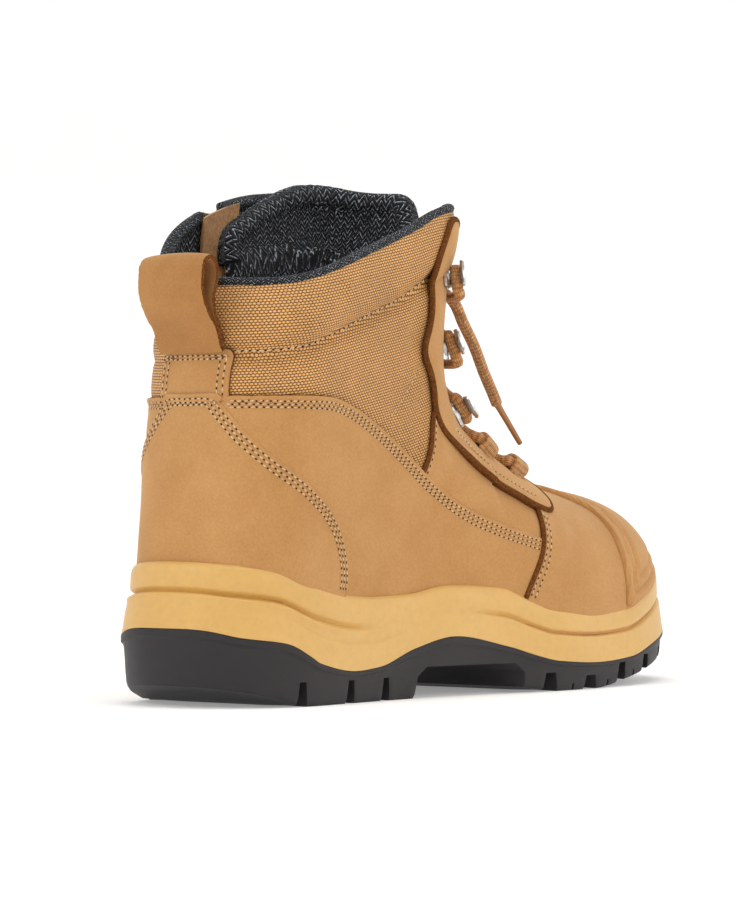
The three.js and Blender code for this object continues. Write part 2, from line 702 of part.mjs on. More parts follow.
const makeBumper = () =>
  layer(LEATHER + VAMP_STEP + CLEARANCE, BUMPER)
    .intersect(acrossPrism(outlineOf(BUMPER_EDGE)))
    .intersect(aboveLip());

const EYESTAY_BASE = LEATHER + CLEARANCE;
const makeEyestay = (hand) =>
  layer(EYESTAY_BASE, EYESTAY_THICKNESS)
    .intersect(acrossPrism(outlineOf(EYESTAY_EDGE)))
    .intersect(halfSpace(hand))
    .subtract(throatBlock(THROAT_WIDTH / 2 + 1, 30, 30, THROAT_START))
    .subtract(aboveCollar(-2));

const STRIP_LOW = 0.57 * BOOT_HEIGHT;
const LOOP_BASE = 0.662 * BOOT_HEIGHT;
const STRIP_WIDTH = 32;
const makeBackStrip = () =>
  layer(CLEARANCE, OVERLAY).intersect(
    box([-FAR, -STRIP_WIDTH / 2, STRIP_LOW], [0.2 * SOLE_LENGTH, STRIP_WIDTH / 2, LOOP_BASE - CLEARANCE]),
  );

// The pull loop's middle line from its outer end over the fold to its inner end: how far it stands
// behind the back of the shaft, in loop widths, and how high above its sewn base.
const LOOP_LINE = [
  { out: 0.13, up: 0.17 },
  { out: 0.17, up: 0.28 },
  { out: 0.33, up: 0.45 },
  { out: 0.5, up: 0.68 },
  { out: 0.6, up: 0.92 },
  { out: 0.57, up: 1.1 },
  { out: 0.44, up: 1.17 },
  { out: 0.31, up: 1.08 },
  { out: 0.27, up: 0.88 },
  { out: 0.25, up: 0.65 },
  { out: 0.17, up: 0.42 },
  { out: 0.07, up: 0.28 },
];
function makePullLoop() {
  const at = (out, up) => {
    const z = LOOP_BASE + up * LOOP_WIDTH;
    return new THREE.Vector2(backX(z) - CLEARANCE - out * LOOP_WIDTH, z);
  };
  const middleLine = new THREE.SplineCurve(LOOP_LINE.map((row) => at(row.out, row.up))).getPoints(26);
  const shifted = (distance) =>
    middleLine.map((p, i) => {
      const ahead = middleLine[Math.min(i + 1, middleLine.length - 1)];
      const behind = middleLine[Math.max(i - 1, 0)];
      const along = ahead.clone().sub(behind).normalize();
      return new THREE.Vector2(p.x - along.y * distance, p.y + along.x * distance);
    });
  const outline = (points) => points.map((p) => [p.x, p.y]);
  const baseOut = (2 * LOOP_LEATHER) / LOOP_WIDTH;
  const base = [at(0, 0.2), at(0, 0), at(baseOut, 0)];
  const half = LOOP_WIDTH / 2;
  const whole = acrossPrism(outline([...base, ...shifted(LOOP_LEATHER / 2)]), -half, half);
  return whole.subtract(acrossPrism(outline(shifted(-LOOP_LEATHER / 2)))).subtract(form(-CLEARANCE));
}

// The tongue's top and rear edge in the side view, and its side edges seen from behind. The lateral
// edge has dropped back to the inner side at the top.
const TONGUE_EDGE = [
  { x: 0.285, z: 0.93 },
  { x: 0.33, z: 0.975 },
  { x: 0.375, z: 1.005 },
  { x: 0.4, z: 1.01 },
  { x: 0.43, z: 0.995 },
  { x: 0.455, z: 0.965 },
  { x: 0.5, z: 0.935 },
  { x: 0.72, z: 0.93 },
  { x: 0.72, z: 0.33 },
  { x: 0.68, z: 0.34 },
  { x: 0.57, z: 0.39 },
  { x: 0.49, z: 0.44 },
  { x: 0.41, z: 0.5 },
  { x: 0.34, z: 0.57 },
  { x: 0.285, z: 0.64 },
];
const TONGUE_SIDES = [
  { y: 0.1, z: 1.1 },
  { y: 0.08, z: 0.95 },
  { y: -0.3, z: 0.86 },
  { y: -0.62, z: 0.78 },
  { y: -0.68, z: 0.6 },
  { y: -0.6, z: 0.3 },
  { y: 0.6, z: 0.3 },
  { y: 0.68, z: 0.54 },
  { y: 2, z: 0.58 },
  { y: 2, z: 1.1 },
];
function makeTongue() {
  const sides = TONGUE_SIDES.map((row) => [row.y * THROAT_WIDTH, row.z * BOOT_HEIGHT]);
  const outerFace = WALL + 2 * CLEARANCE;
  return form(outerFace, OPEN)
    .subtract(form(outerFace + TONGUE_THICKNESS, OPEN))
    .intersect(acrossPrism(outlineOf(TONGUE_EDGE)))
    .intersect(alongPrism(sides));
}

// A point over the front of the last, on slice t at y, standing off by out, with its outward
// direction and the direction up the throat.
function onFront(t, y, out) {
  const { low, high } = sliceLine(t, 0, 0);
  const length = high.distanceTo(low);
  const crown = slice.crown(t) * BALL_WIDTH;
  const hand = y < 0 ? "lateral" : "medial";
  const widthAt = (share) => {
    const p = low.clone().lerp(high, share);
    return lastWidth(p.x, p.z, hand, 0, true) * rounded((1 - share) * length, crown);
  };
  let from = 1 - crown / length;
  let to = 1;
  for (let i = 0; i < 24; i++) {
    const mid = (from + to) / 2;
    if (widthAt(mid) > Math.abs(y)) from = mid;
    else to = mid;
  }
  const along = high.clone().sub(low).normalize();
  const step = 0.004;
  const slope = (widthAt(from - step) - widthAt(from)) / (step * length);
  const sign = y < 0 ? -1 : 1;
  const normal = new THREE.Vector3(along.x * slope, sign, along.z * slope).normalize();
  if (Math.abs(y) < 0.5) normal.copy(along);
  const point = low.clone().lerp(high, from);
  point.y = middle(point.x) + y;
  const ahead = sliceLine(t + 0.01, 0, 0).high;
  const upward = ahead.sub(sliceLine(t - 0.01, 0, 0).high).normalize();
  point.addScaledVector(normal, out);
  return { point, normal, upward };
}

// Where the laces are held, up the throat, as shares of the slices.
const HOOK_LEVELS = [0.59, 0.72, 0.85];
const WEBBING_LEVELS = [0.43, 0.505];
const EYESTAY_TOP = EYESTAY_BASE + EYESTAY_THICKNESS;
const spreadAt = (t) => 1 + THROAT_SPREAD * ease((t - 0.55) / 0.35);
const holderY = (t) => (THROAT_WIDTH / 2) * spreadAt(t) + HOLDER_INSET * EYESTAY_WIDTH;

// Sets a solid made round the origin, with +Z outwards and +X up the throat, on the eyestay.
function onEyestay(geometry, t, hand) {
  const y = (hand === "lateral" ? -1 : 1) * holderY(t);
  const { point, normal, upward } = onFront(t, y, EYESTAY_TOP + 4 * CLEARANCE);
  const across = new THREE.Vector3().crossVectors(normal, upward).normalize();
  const up = new THREE.Vector3().crossVectors(across, normal).normalize();
  geometry.applyMatrix4(new THREE.Matrix4().makeBasis(up, across, normal).setPosition(point));
  return fromGeometry(geometry).subtract(form(-EYESTAY_TOP - 2 * CLEARANCE));
}

// A pressed hook: a plate on the leather, a bend on the throat side and a flange back over it.
function makeHook(t, hand) {
  const reach = HOOK_REACH / 2;
  const inner = LACE_DIAMETER / 2 + CLEARANCE;
  const outer = inner + HOOK_STEEL;
  const side = hand === "lateral" ? -1 : 1;
  const profile = new THREE.Shape();
  profile.moveTo(-reach, 0);
  profile.lineTo(reach - outer, 0);
  profile.absarc(reach - outer, outer, outer, -Math.PI / 2, Math.PI / 2, false);
  profile.lineTo(-reach + 3, 2 * outer);
  profile.lineTo(-reach + 2, 2 * outer + 1);
  profile.lineTo(-reach + 2, 2 * outer - HOOK_STEEL + 0.6);
  profile.lineTo(-reach + 3, 2 * outer - HOOK_STEEL);
  profile.lineTo(reach - outer, 2 * outer - HOOK_STEEL);
  profile.absarc(reach - outer, outer, inner, Math.PI / 2, -Math.PI / 2, true);
  profile.lineTo(-reach, HOOK_STEEL);
  const sweep = { depth: HOOK_WIDTH, bevelEnabled: false, curveSegments: 5 };
  const geometry = new THREE.ExtrudeGeometry(profile, sweep);
  const turn = new THREE.Matrix4().makeBasis(
    new THREE.Vector3(0, side, 0),
    new THREE.Vector3(0, 0, 1),
    new THREE.Vector3(side, 0, 0),
  );
  geometry.translate(0, 0, -HOOK_WIDTH / 2);
  geometry.applyMatrix4(turn);
  return onEyestay(geometry, t, hand);
}

// A webbing loop: a flat foot and a round eye that the lace runs through, up the throat.
function makeWebbing(t, hand) {
  const inner = LACE_DIAMETER / 2 + 2 * CLEARANCE;
  const outer = inner + WEBBING_THICKNESS;
  const profile = new THREE.Shape();
  profile.moveTo(-outer - 2, 0);
  profile.lineTo(outer + 2, 0);
  profile.lineTo(outer + 2, 0.8 * WEBBING_THICKNESS);
  profile.lineTo(outer, WEBBING_THICKNESS);
  profile.absarc(0, outer, outer, 0, Math.PI, false);
  profile.lineTo(-outer, WEBBING_THICKNESS);
  profile.lineTo(-outer - 2, 0.8 * WEBBING_THICKNESS);
  const eye = new THREE.Path();
  eye.absarc(0, outer, inner, 0, 2 * Math.PI, false);
  profile.holes.push(eye);
  const geometry = new THREE.ExtrudeGeometry(profile, {
    depth: WEBBING_WIDTH,
    bevelEnabled: false,
    curveSegments: 6,
  });
  geometry.translate(0, 0, -WEBBING_WIDTH / 2);
  const turn = new THREE.Matrix4().makeBasis(
    new THREE.Vector3(0, 1, 0),
    new THREE.Vector3(0, 0, 1),
    new THREE.Vector3(1, 0, 0),
  );
  geometry.applyMatrix4(turn);
  return onEyestay(geometry, t, hand);
}

// A round cord along a smooth curve through the points.
function cord(points, diameter, count, sides = 8) {
  const section = new THREE.Shape(
    steps(0, 1, sides).slice(1).map((share) => {
      const angle = 2 * Math.PI * share;
      return new THREE.Vector2((Math.cos(angle) * diameter) / 2, (Math.sin(angle) * diameter) / 2);
    }),
  );
  const path = new THREE.CatmullRomCurve3(points);
  return fromGeometry(new THREE.ExtrudeGeometry(section, { steps: count, extrudePath: path }));
}

// The lace crosses the throat from each holder to the next one up on the other side, straight
// across at the lowest webbing and at the top hooks.
const LACE_LIFT = EYESTAY_TOP + VAMP_STEP + HOOK_STEEL + LACE_DIAMETER / 2 + 3 * CLEARANCE;
function crossing(fromT, toT, sign) {
  const reach = (t) => holderY(t) - HOOK_REACH / 2 - 2 * CLEARANCE;
  const points = steps(0, 1, 4).map((share) => {
    const t = lerp(fromT, toT, share);
    const y = sign * lerp(-reach(fromT), reach(toT), share);
    return onFront(t, y, LACE_LIFT).point;
  });
  return cord(points, LACE_DIAMETER, 3, 6);
}
function makeCrossings() {
  const levels = [...WEBBING_LEVELS, ...HOOK_LEVELS];
  let made = crossing(levels[0], levels[0], 1);
  for (let i = 0; i < levels.length - 1; i++) {
    made = made.add(crossing(levels[i], levels[i + 1], 1)).add(crossing(levels[i], levels[i + 1], -1));
  }
  return made.add(crossing(levels[levels.length - 1], levels[levels.length - 1], 1));
}

// The loose end, from under the top hook down in front of the vamp. A hanging cord's points are
// chosen by hand, in millimetres from the back of the sole, the middle line and the floor.
const LACE_END = [
  { x: 144.5, y: -28.5, z: 153 },
  { x: 149, y: -29, z: 146 },
  { x: 156.5, y: -29, z: 137 },
  { x: 163.5, y: -28.5, z: 127.3 },
  { x: 170, y: -28, z: 119.5 },
  { x: 174, y: -27.5, z: 114.8 },
];
const LACE_TIP = { x: 191.5, y: -28.5, z: 96.5 };
const pointOf = (row) => new THREE.Vector3(row.x, row.y, row.z);
const makeLaceEnd = () => cord(LACE_END.map(pointOf), LACE_DIAMETER, 8);
function makeAglet() {
  const end = pointOf(LACE_END[LACE_END.length - 1]);
  const along = pointOf(LACE_TIP).sub(end).normalize();
  const from = end.clone().addScaledVector(along, 2 * CLEARANCE);
  const to = from.clone().addScaledVector(along, AGLET_LENGTH);
  return cord([from, from.clone().lerp(to, 0.5), to], AGLET_DIAMETER, 2);
}

// The zip on the inner side: its height range, and the slider at its top, with the wall's outside.
const wallY = (x, z) => middle(x) + lastWidth(x, z, "medial", 0, true);
const ZIP_TOP = collarHeight(ZIP_X, "medial") - 2;
const SLIDER_Z = ZIP_TOP - SLIDER_HEIGHT / 2;
const SLIDER_Y = wallY(ZIP_X, SLIDER_Z);
const SLIDER_FRONT = 0.7 * WALL;
const SLIDER_BACK = -0.7 * WALL;
const PIVOT_Y = SLIDER_FRONT + PIN_RADIUS + 2 * CLEARANCE;
const PIVOT_Z = 0.15 * SLIDER_HEIGHT;
const BAIL_WIDTH = 0.3 * SLIDER_WIDTH;
const PIN_HOLE = PIN_RADIUS + CLEARANCE;
const BAIL_RADIUS = PIN_HOLE + PIN_RADIUS;

const sliderRoom = () =>
  box(
    [ZIP_X - SLIDER_WIDTH / 2 - CLEARANCE, 0, ZIP_TOP - SLIDER_HEIGHT - CLEARANCE],
    [ZIP_X + SLIDER_WIDTH / 2 + CLEARANCE, FAR, FAR],
  );
function makeTape(hand) {
  const outer = ZIP_SLOT / 2 - CLEARANCE;
  const inner = ZIP_TEETH_WIDTH / 2 + CLEARANCE;
  const [from, to] = hand === "front" ? [inner, outer] : [-outer, -inner];
  return form(WALL / 2 - ZIP_TAPE / 2)
    .subtract(form(WALL / 2 + ZIP_TAPE / 2))
    .intersect(zipStrip(from, to, ZIP_BOTTOM + CLEARANCE, ZIP_TOP))
    .subtract(sliderRoom());
}
const makeTeeth = () =>
  form(CLEARANCE)
    .subtract(form(WALL - CLEARANCE))
    .intersect(zipStrip(-ZIP_TEETH_WIDTH / 2, ZIP_TEETH_WIDTH / 2, ZIP_BOTTOM + CLEARANCE, ZIP_TOP))
    .subtract(sliderRoom());

// The guard behind the zip, inside the wall. It ends just behind the tongue.
const GUARD_FRONT = TONGUE_EDGE[0].x * SOLE_LENGTH - 3 * CLEARANCE - ZIP_X;
const makeGuard = () =>
  form(WALL + 2 * CLEARANCE, OPEN)
    .subtract(form(WALL + 2 * CLEARANCE + GUARD_THICKNESS, OPEN))
    .intersect(zipStrip(GUARD_FRONT - GUARD_WIDTH, GUARD_FRONT, ZIP_BOTTOM - ZIP_TEETH_WIDTH, FAR))
    .subtract(aboveCollar(-CLEARANCE));

// A bar across the boot's length, round its own middle line.
function rod(radius, from, to, y, z, sides = 12) {
  const geometry = new THREE.CylinderGeometry(radius, radius, to - from, sides);
  geometry.rotateZ(Math.PI / 2);
  geometry.translate((from + to) / 2, y, z);
  return fromGeometry(geometry);
}
function makeSlider() {
  const half = SLIDER_WIDTH / 2;
  const body = box([-half, SLIDER_BACK, -SLIDER_HEIGHT / 2], [half, SLIDER_FRONT, SLIDER_HEIGHT / 2]);
  const bail = rod(BAIL_RADIUS, -BAIL_WIDTH / 2, BAIL_WIDTH / 2, PIVOT_Y, PIVOT_Z);
  return body.add(bail).subtract(rod(PIN_HOLE, -half, half, PIVOT_Y, PIVOT_Z));
}
function makePullTab() {
  const armIn = BAIL_WIDTH / 2 + CLEARANCE;
  const armOut = TAB_WIDTH / 2;
  const top = -BAIL_RADIUS - 2 * CLEARANCE;
  const half = TAB_THICKNESS / 2;
  const arm = (sign) => {
    const [from, to] = sign < 0 ? [-armOut, -armIn] : [armIn, armOut];
    return box([from, -half, top - 1], [to, half, PIN_RADIUS]);
  };
  const plate = box([-armOut, -half, -TAB_LENGTH], [armOut, half, top]);
  return plate.add(arm(-1)).add(arm(1)).add(rod(PIN_RADIUS, -armIn - 0.5, armIn + 0.5, 0, 0, 8));
}

// The middle of the heel's flat pad, over the origin.
const HEEL_REST_X = 50;

const boot = new THREE.Group();
boot.position.x = -HEEL_REST_X;

// A mesh from a solid, named and coloured.
function place(name, made, color, roughness = 0.9, metalness = 0, at = [0, 0, 0]) {
  const mesh = made.getMesh();
  const geometry = new THREE.BufferGeometry();
  geometry.setAttribute("position", new THREE.Float32BufferAttribute(mesh.vertProperties, 3));
  geometry.setIndex(new THREE.Uint32BufferAttribute(mesh.triVerts, 1));
  geometry.computeVertexNormals();
  const part = new THREE.Mesh(geometry, new THREE.MeshStandardMaterial({ color, roughness, metalness }));
  part.name = name;
  part.position.set(...at);
  boot.add(part);
}

const WHEAT = 0xc8955f;
const NYLON = 0xcc9658;
const MUSTARD = 0xd9a961;
const CHARCOAL = 0x3a3538;
const BROWN = 0x7a4a20;
const KNIT = 0x2b2a2d;
const STEEL = 0xc8c8c8;
const CORD = 0xb8783a;

place("outsole", makeOutsole(), CHARCOAL, 0.8);
place("midsole", makeMidsole(), MUSTARD, 0.7);
place("insole", makeInsole(), KNIT);
place("upper", makeUpper(), NYLON);
place("heel_counter", makeCounter(), WHEAT);
place("toe_bumper", makeBumper(), WHEAT, 0.7);
place("eyestay_lateral", makeEyestay("lateral"), WHEAT);
place("eyestay_medial", makeEyestay("medial"), WHEAT);
place("back_strip", makeBackStrip(), WHEAT);
place("pull_loop", makePullLoop(), WHEAT);
place("tongue", makeTongue(), KNIT);
place("zip_guard", makeGuard(), BROWN);
place("zip_tape_front", makeTape("front"), BROWN);
place("zip_tape_rear", makeTape("rear"), BROWN);
place("zip_teeth", makeTeeth(), STEEL, 0.4, 0.8);
place("zip_slider", makeSlider(), STEEL, 0.3, 1, [ZIP_X, SLIDER_Y, SLIDER_Z]);
place("zip_pull_tab", makePullTab(), STEEL, 0.3, 1, [ZIP_X, SLIDER_Y + PIVOT_Y, SLIDER_Z + PIVOT_Z]);
for (const hand of ["lateral", "medial"]) {
  HOOK_LEVELS.forEach((t, i) => place(`hook_${hand}_${i + 1}`, makeHook(t, hand), STEEL, 0.3, 1));
  WEBBING_LEVELS.forEach((t, i) => place(`webbing_${hand}_${i + 1}`, makeWebbing(t, hand), WHEAT));
}
place("lace_crossings", makeCrossings(), CORD);
place("lace_end", makeLaceEnd(), CORD);
place("aglet", makeAglet(), BROWN, 0.4);

export default boot;
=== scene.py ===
# %% [markdown]
# # A zip safety boot, right foot
# A work boot is built round a last, the wooden or plastic shape of a foot. This lesson rebuilds the
# last as a fine grid, cuts every leather and cloth panel from that grid, and dresses the boot with
# its stitches, edges, laces and soles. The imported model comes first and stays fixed.

import math
from functools import partial

import bmesh
import bpy
import numpy as np
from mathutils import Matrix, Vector


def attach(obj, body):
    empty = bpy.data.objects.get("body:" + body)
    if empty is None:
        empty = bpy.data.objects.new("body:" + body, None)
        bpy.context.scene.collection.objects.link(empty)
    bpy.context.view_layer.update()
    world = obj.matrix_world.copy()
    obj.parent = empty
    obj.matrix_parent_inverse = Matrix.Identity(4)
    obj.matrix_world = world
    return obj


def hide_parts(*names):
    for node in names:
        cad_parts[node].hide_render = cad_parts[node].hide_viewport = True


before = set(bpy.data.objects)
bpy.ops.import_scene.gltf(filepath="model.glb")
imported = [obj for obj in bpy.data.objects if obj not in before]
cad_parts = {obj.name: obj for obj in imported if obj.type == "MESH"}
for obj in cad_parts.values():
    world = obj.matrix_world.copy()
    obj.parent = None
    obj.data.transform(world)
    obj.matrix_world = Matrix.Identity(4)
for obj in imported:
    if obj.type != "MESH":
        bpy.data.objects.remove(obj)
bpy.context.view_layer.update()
bpy.ops.object.select_all(action="DESELECT")

# %% [markdown]
# The camera stands behind the boot on its outer side, low down, with a long lens. Its turn, its
# distance and its lens were measured from the edges of the sole and the collar.

# %% Camera
CAMERA_TURN = 53.2
CAMERA_AWAY = 1.4
camera_data = bpy.data.cameras.new("camera")
camera_data.sensor_fit = "VERTICAL"
camera_data.sensor_height = 36
camera_data.lens = 139.7
camera_data.shift_x = -0.0411
camera_data.shift_y = 0.0167
camera_data.clip_end = 50
camera = bpy.data.objects.new("camera", camera_data)
bpy.context.scene.collection.objects.link(camera)
turn = math.radians(CAMERA_TURN)
look = Vector((math.sin(turn), math.cos(turn), 0.0087)).normalized()
camera.location = Vector((0.1, 0.0, 0.09)) - CAMERA_AWAY * look
camera.rotation_euler = look.to_track_quat("-Z", "Y").to_euler()
bpy.context.scene.camera = camera
print("camera at", tuple(round(v, 3) for v in camera.location))

# %% [markdown]
# Sizes are in millimetres from the back of the sole, the middle line and the floor. One function
# turns them into metres in the model's own frame, whose origin is under the heel.

# %% Sizes and small helpers
SOLE_LENGTH = 305.0
BALL_WIDTH = 113.0
HEEL_WIDTH = 84.0
HEEL_LIP_HEIGHT = 54.0
LIP_WIDTH = 7.0
BOOT_HEIGHT = 198.0
SHAFT_WIDTH = 74.0
COLLAR_BAND = 26.0
COLLAR_PUFF = 3.0
WALL = 3.0
THROAT_WIDTH = 40.0
EYESTAY_WIDTH = 15.0
ZIP_X = 72.0
HEEL_REST_X = 50.0


def metres(points):
    points = np.asarray(points, float)
    return (points - np.array([HEEL_REST_X, 0.0, 0.0])) / 1000


def ease(share):
    share = np.clip(share, 0, 1)
    return share * share * (3 - 2 * share)


def mix(a, b, share):
    return a + (b - a) * share


def rounded(depth, radius, power=2.2):
    """The share of full width left at a depth inside a rounded edge."""
    share = np.clip(np.asarray(depth, float) / radius, 0, 1)
    return (1 - (1 - share) ** power) ** (1 / power)


def curve(at, value):
    """A smooth curve through a column of a table, level where the column turns."""
    at = np.array(at, float)
    value = np.array(value, float)
    pitch = np.diff(value) / np.diff(at)
    slope = np.zeros_like(value)
    before, after = pitch[:-1], pitch[1:]
    same = before * after > 0
    total = np.where(same, before + after, 1)
    slope[1:-1] = np.where(same, 2 * before * after / total, 0)

    def read(share):
        t = np.clip(share, at[0], at[-1])
        i = np.clip(np.searchsorted(at, t) - 1, 0, len(at) - 2)
        span = at[i + 1] - at[i]
        k = (t - at[i]) / span
        bend = k * (1 - k) * span
        rise = value[i + 1] - value[i]
        return value[i] + rise * ease(k) + bend * (slope[i] * (1 - k) - slope[i + 1] * k)

    return read


# %% [markdown]
# The last is described by the outline of the sole in plan, heights along the sole, slices from the
# toe up to the collar, the line of the back, and the lines of the collar. These are the same short
# tables that the solids were made from, so each panel lies on its solid.

# %% The tables of the last and the sole
PLAN_AT = (0.0, 0.15, 0.3, 0.43, 0.57, 0.7, 0.84, 0.94, 1.0)
plan = {
    "lateral": curve(PLAN_AT, (0.49, 0.495, 0.49, 0.495, 0.51, 0.505, 0.47, 0.42, 0.38)),
    "medial": curve(PLAN_AT, (0.48, 0.485, 0.46, 0.42, 0.42, 0.465, 0.475, 0.445, 0.42)),
    "lip": curve(PLAN_AT, (1.0, 1.0, 1.0, 0.95, 0.9, 0.85, 0.9, 1.05, 1.05)),
}
SIDE_AT = (0, 0.035, 0.085, 0.12, 0.14, 0.21, 0.26, 0.33, 0.4)
SIDE_AT += (0.49, 0.54, 0.58, 0.67, 0.75, 0.82, 0.88, 0.94, 1)
side = {
    "tread": curve(
        SIDE_AT,
        (0.15, 0.12, 0.05, 0, 0, 0, 0, 0, 0.04) + (0.06, 0.03, 0, 0, 0.055, 0.12, 0.175, 0.22, 0.26),
    ),
    "rubber": curve(
        SIDE_AT,
        (0.54, 0.48, 0.435, 0.345, 0.29, 0.225, 0.245, 0.36, 0.433)
        + (0.345, 0.27, 0.225, 0.198, 0.222, 0.305, 0.37, 0.42, 0.46),
    ),
    "lip": curve(
        SIDE_AT,
        (1, 0.975, 0.93, 0.865, 0.835, 0.755, 0.73, 0.74, 0.795)
        + (0.775, 0.68, 0.62, 0.585, 0.603, 0.7, 0.82, 0.9, 0.94),
    ),
    "bed": curve(
        SIDE_AT,
        (0.7, 0.7, 0.69, 0.68, 0.67, 0.63, 0.59, 0.54, 0.49)
        + (0.44, 0.42, 0.4, 0.38, 0.385, 0.41, 0.45, 0.49, 0.53),
    ),
}
SLICE_AT = (0, 0.05, 0.11, 0.17, 0.24, 0.31, 0.38, 0.45, 0.52, 0.58, 0.64, 0.7, 0.76, 0.82, 0.9, 1)
slices = {
    "bottom": curve(
        SLICE_AT,
        (0.98, 0.968, 0.94, 0.89, 0.81, 0.705, 0.59, 0.47)
        + (0.34, 0.23, 0.115, 0.024, -0.13, -0.29, -0.46, -0.72),
    ),
    "front": curve(
        SLICE_AT,
        (0.98, 0.974, 0.954, 0.915, 0.84, 0.746, 0.66, 0.587)
        + (0.528, 0.493, 0.477, 0.472, 0.476, 0.487, 0.501, 0.511),
    ),
    "top": curve(
        SLICE_AT,
        (0.235, 0.269, 0.312, 0.348, 0.375, 0.396, 0.43, 0.477)
        + (0.528, 0.58, 0.638, 0.702, 0.764, 0.83, 0.92, 1.1),
    ),
    "crown": curve(
        SLICE_AT,
        (0.2, 0.22, 0.26, 0.3, 0.34, 0.38, 0.42, 0.42, 0.4, 0.38, 0.38, 0.38, 0.38, 0.38, 0.38, 0.38),
    ),
}
back_share = curve(
    (0.17, 0.28, 0.38, 0.48, 0.56, 0.63, 0.73, 0.81, 1.2),
    (0.0245, 0.033, 0.041, 0.051, 0.06, 0.069, 0.073, 0.077, 0.09),
)
LINE_AT = (-0.1, 0.03, 0.08, 0.13, 0.18, 0.24, 0.32, 0.4, 0.46, 0.7)
line = {
    "lateral": curve(LINE_AT, (0.782, 0.782, 0.788, 0.802, 0.826, 0.86, 0.903, 0.952, 0.968, 0.968)),
    "medial": curve(LINE_AT, (0.79, 0.79, 0.82, 0.87, 0.92, 0.96, 0.99, 1.0, 0.99, 0.985)),
    "quarter": curve(LINE_AT, (0.57, 0.57, 0.57, 0.567, 0.565, 0.54, 0.47, 0.39, 0.36, 0.3)),
}
TOE_ROUND = {"lateral": 0.66 * BALL_WIDTH, "medial": 0.56 * BALL_WIDTH}
HEEL_ROUND = 0.5 * HEEL_WIDTH


# %% The last's width at any place in its side view
def side_height(name, x):
    return side[name](x / SOLE_LENGTH) * HEEL_LIP_HEIGHT


def collar_height(x, hand):
    return line[hand](x / SOLE_LENGTH) * BOOT_HEIGHT


def collar_over(x, y):
    """The collar's height, which changes across the boot from the outer to the inner side."""
    return mix(collar_height(x, "lateral"), collar_height(x, "medial"), ease(y / SHAFT_WIDTH + 0.5))


def plan_width(x, hand):
    at = x / SOLE_LENGTH
    return plan[hand](at) * mix(HEEL_WIDTH, BALL_WIDTH, ease((at - 0.28) / 0.37))


def lip_width(x):
    return plan["lip"](x / SOLE_LENGTH) * LIP_WIDTH


def middle(x):
    return 0.045 * BALL_WIDTH * ease((x / SOLE_LENGTH - 0.45) / 0.5)


def padding(x, z, hand):
    collar = collar_height(x, hand)
    quilt = collar - COLLAR_BAND
    quarter = line["quarter"](x / SOLE_LENGTH) * BOOT_HEIGHT
    upper = (z - quilt) / (collar - quilt)
    lower = (z - quarter) / np.where(quilt - quarter == 0, 1, quilt - quarter)
    k = np.where(z > quilt, upper, lower)
    full = np.where(z > quilt, 1, 0.7)
    puff = COLLAR_PUFF * full * np.sqrt(np.clip(4 * k * (1 - k), 0, None))
    return np.where((k <= 0) | (k >= 1) | (x > 0.5 * SOLE_LENGTH), 0, puff)


def back_x(z):
    return back_share(z / BOOT_HEIGHT) * SOLE_LENGTH - padding(0 * z, z, "lateral")


def last_width(x, z, hand):
    sign = 1 if hand == "lateral" else -1
    foot = plan_width(x, hand) - lip_width(x) + sign * middle(x)
    full = mix(foot, SHAFT_WIDTH / 2, ease((z / BOOT_HEIGHT - 0.33) / 0.24)) + padding(x, z, hand)
    heel = rounded(x - back_x(z), HEEL_ROUND - LIP_WIDTH)
    toe = rounded(SOLE_LENGTH - lip_width(x) - x, TOE_ROUND[hand] - LIP_WIDTH)
    return full * heel * toe


def slice_line(t):
    """The lower and upper end of a slice of the last, in the side view."""
    bottom = float(slices["bottom"](t))
    bed_back = float(side_height("bed", np.array(0.0)))
    corner = float(back_x(np.array(bed_back)))
    on_bed = bottom * SOLE_LENGTH >= corner - 1
    rise = max(corner / SOLE_LENGTH - bottom, 0) * BOOT_HEIGHT
    low_x = bottom * SOLE_LENGTH if on_bed else float(back_x(np.array(bed_back + rise)))
    low_z = float(side_height("bed", np.array(low_x))) if on_bed else bed_back + rise
    nose = SOLE_LENGTH - float(lip_width(np.array(SOLE_LENGTH))) - 0.3
    low = np.array([min(low_x, nose), low_z])
    high_x = min(float(slices["front"](t)) * SOLE_LENGTH, nose)
    high = np.array([high_x, float(slices["top"](t)) * BOOT_HEIGHT])
    return low, high, on_bed


# %% [markdown]
# A fine grid over the last: rows are slices from the toe up to the collar, columns run from the
# front ridge down the outer side and up the inner side. Every panel of the upper is a part of this
# grid, so that neighbours share its curves exactly.

# %% The grid
ROWS = 250
COLUMNS = 130


def make_grid():
    share = (1 - np.cos(np.pi * np.linspace(0, 1, COLUMNS))) / 2
    count = 2 * COLUMNS
    point = np.zeros((ROWS + 1, count, 3))
    slice_at = np.zeros((ROWS + 1, count))
    from_front = np.zeros((ROWS + 1, count))
    on_bed = np.zeros(ROWS + 1, bool)
    for row in range(ROWS + 1):
        t = max(row - 1, 0) / (ROWS - 1)
        low, high, on_bed[row] = slice_line(t)
        length = float(np.linalg.norm(high - low))
        x = mix(low[0], high[0], share)
        z = mix(low[1], high[1], share)
        crown = max(float(slices["crown"](t)) * BALL_WIDTH, 2)
        front = rounded((1 - share) * length, crown)
        for hand, sign in (("lateral", -1), ("medial", 1)):
            width = last_width(x, z, hand) * front
            if row == 0:
                width = width * 0
            if not on_bed[row]:
                width[0] = 0
            width[-1] = 0
            column = np.arange(COLUMNS - 1, -1, -1) if sign < 0 else np.arange(COLUMNS, count)
            place = np.column_stack([x + (0.25 if row == 0 else 0), middle(x) + sign * width, z])
            point[row, column] = place
            slice_at[row, column] = t
            from_front[row, column] = (1 - share) * length
    return point, slice_at, from_front, on_bed


grid_point, grid_slice, grid_front, grid_on_bed = make_grid()
print("grid:", grid_point.shape)


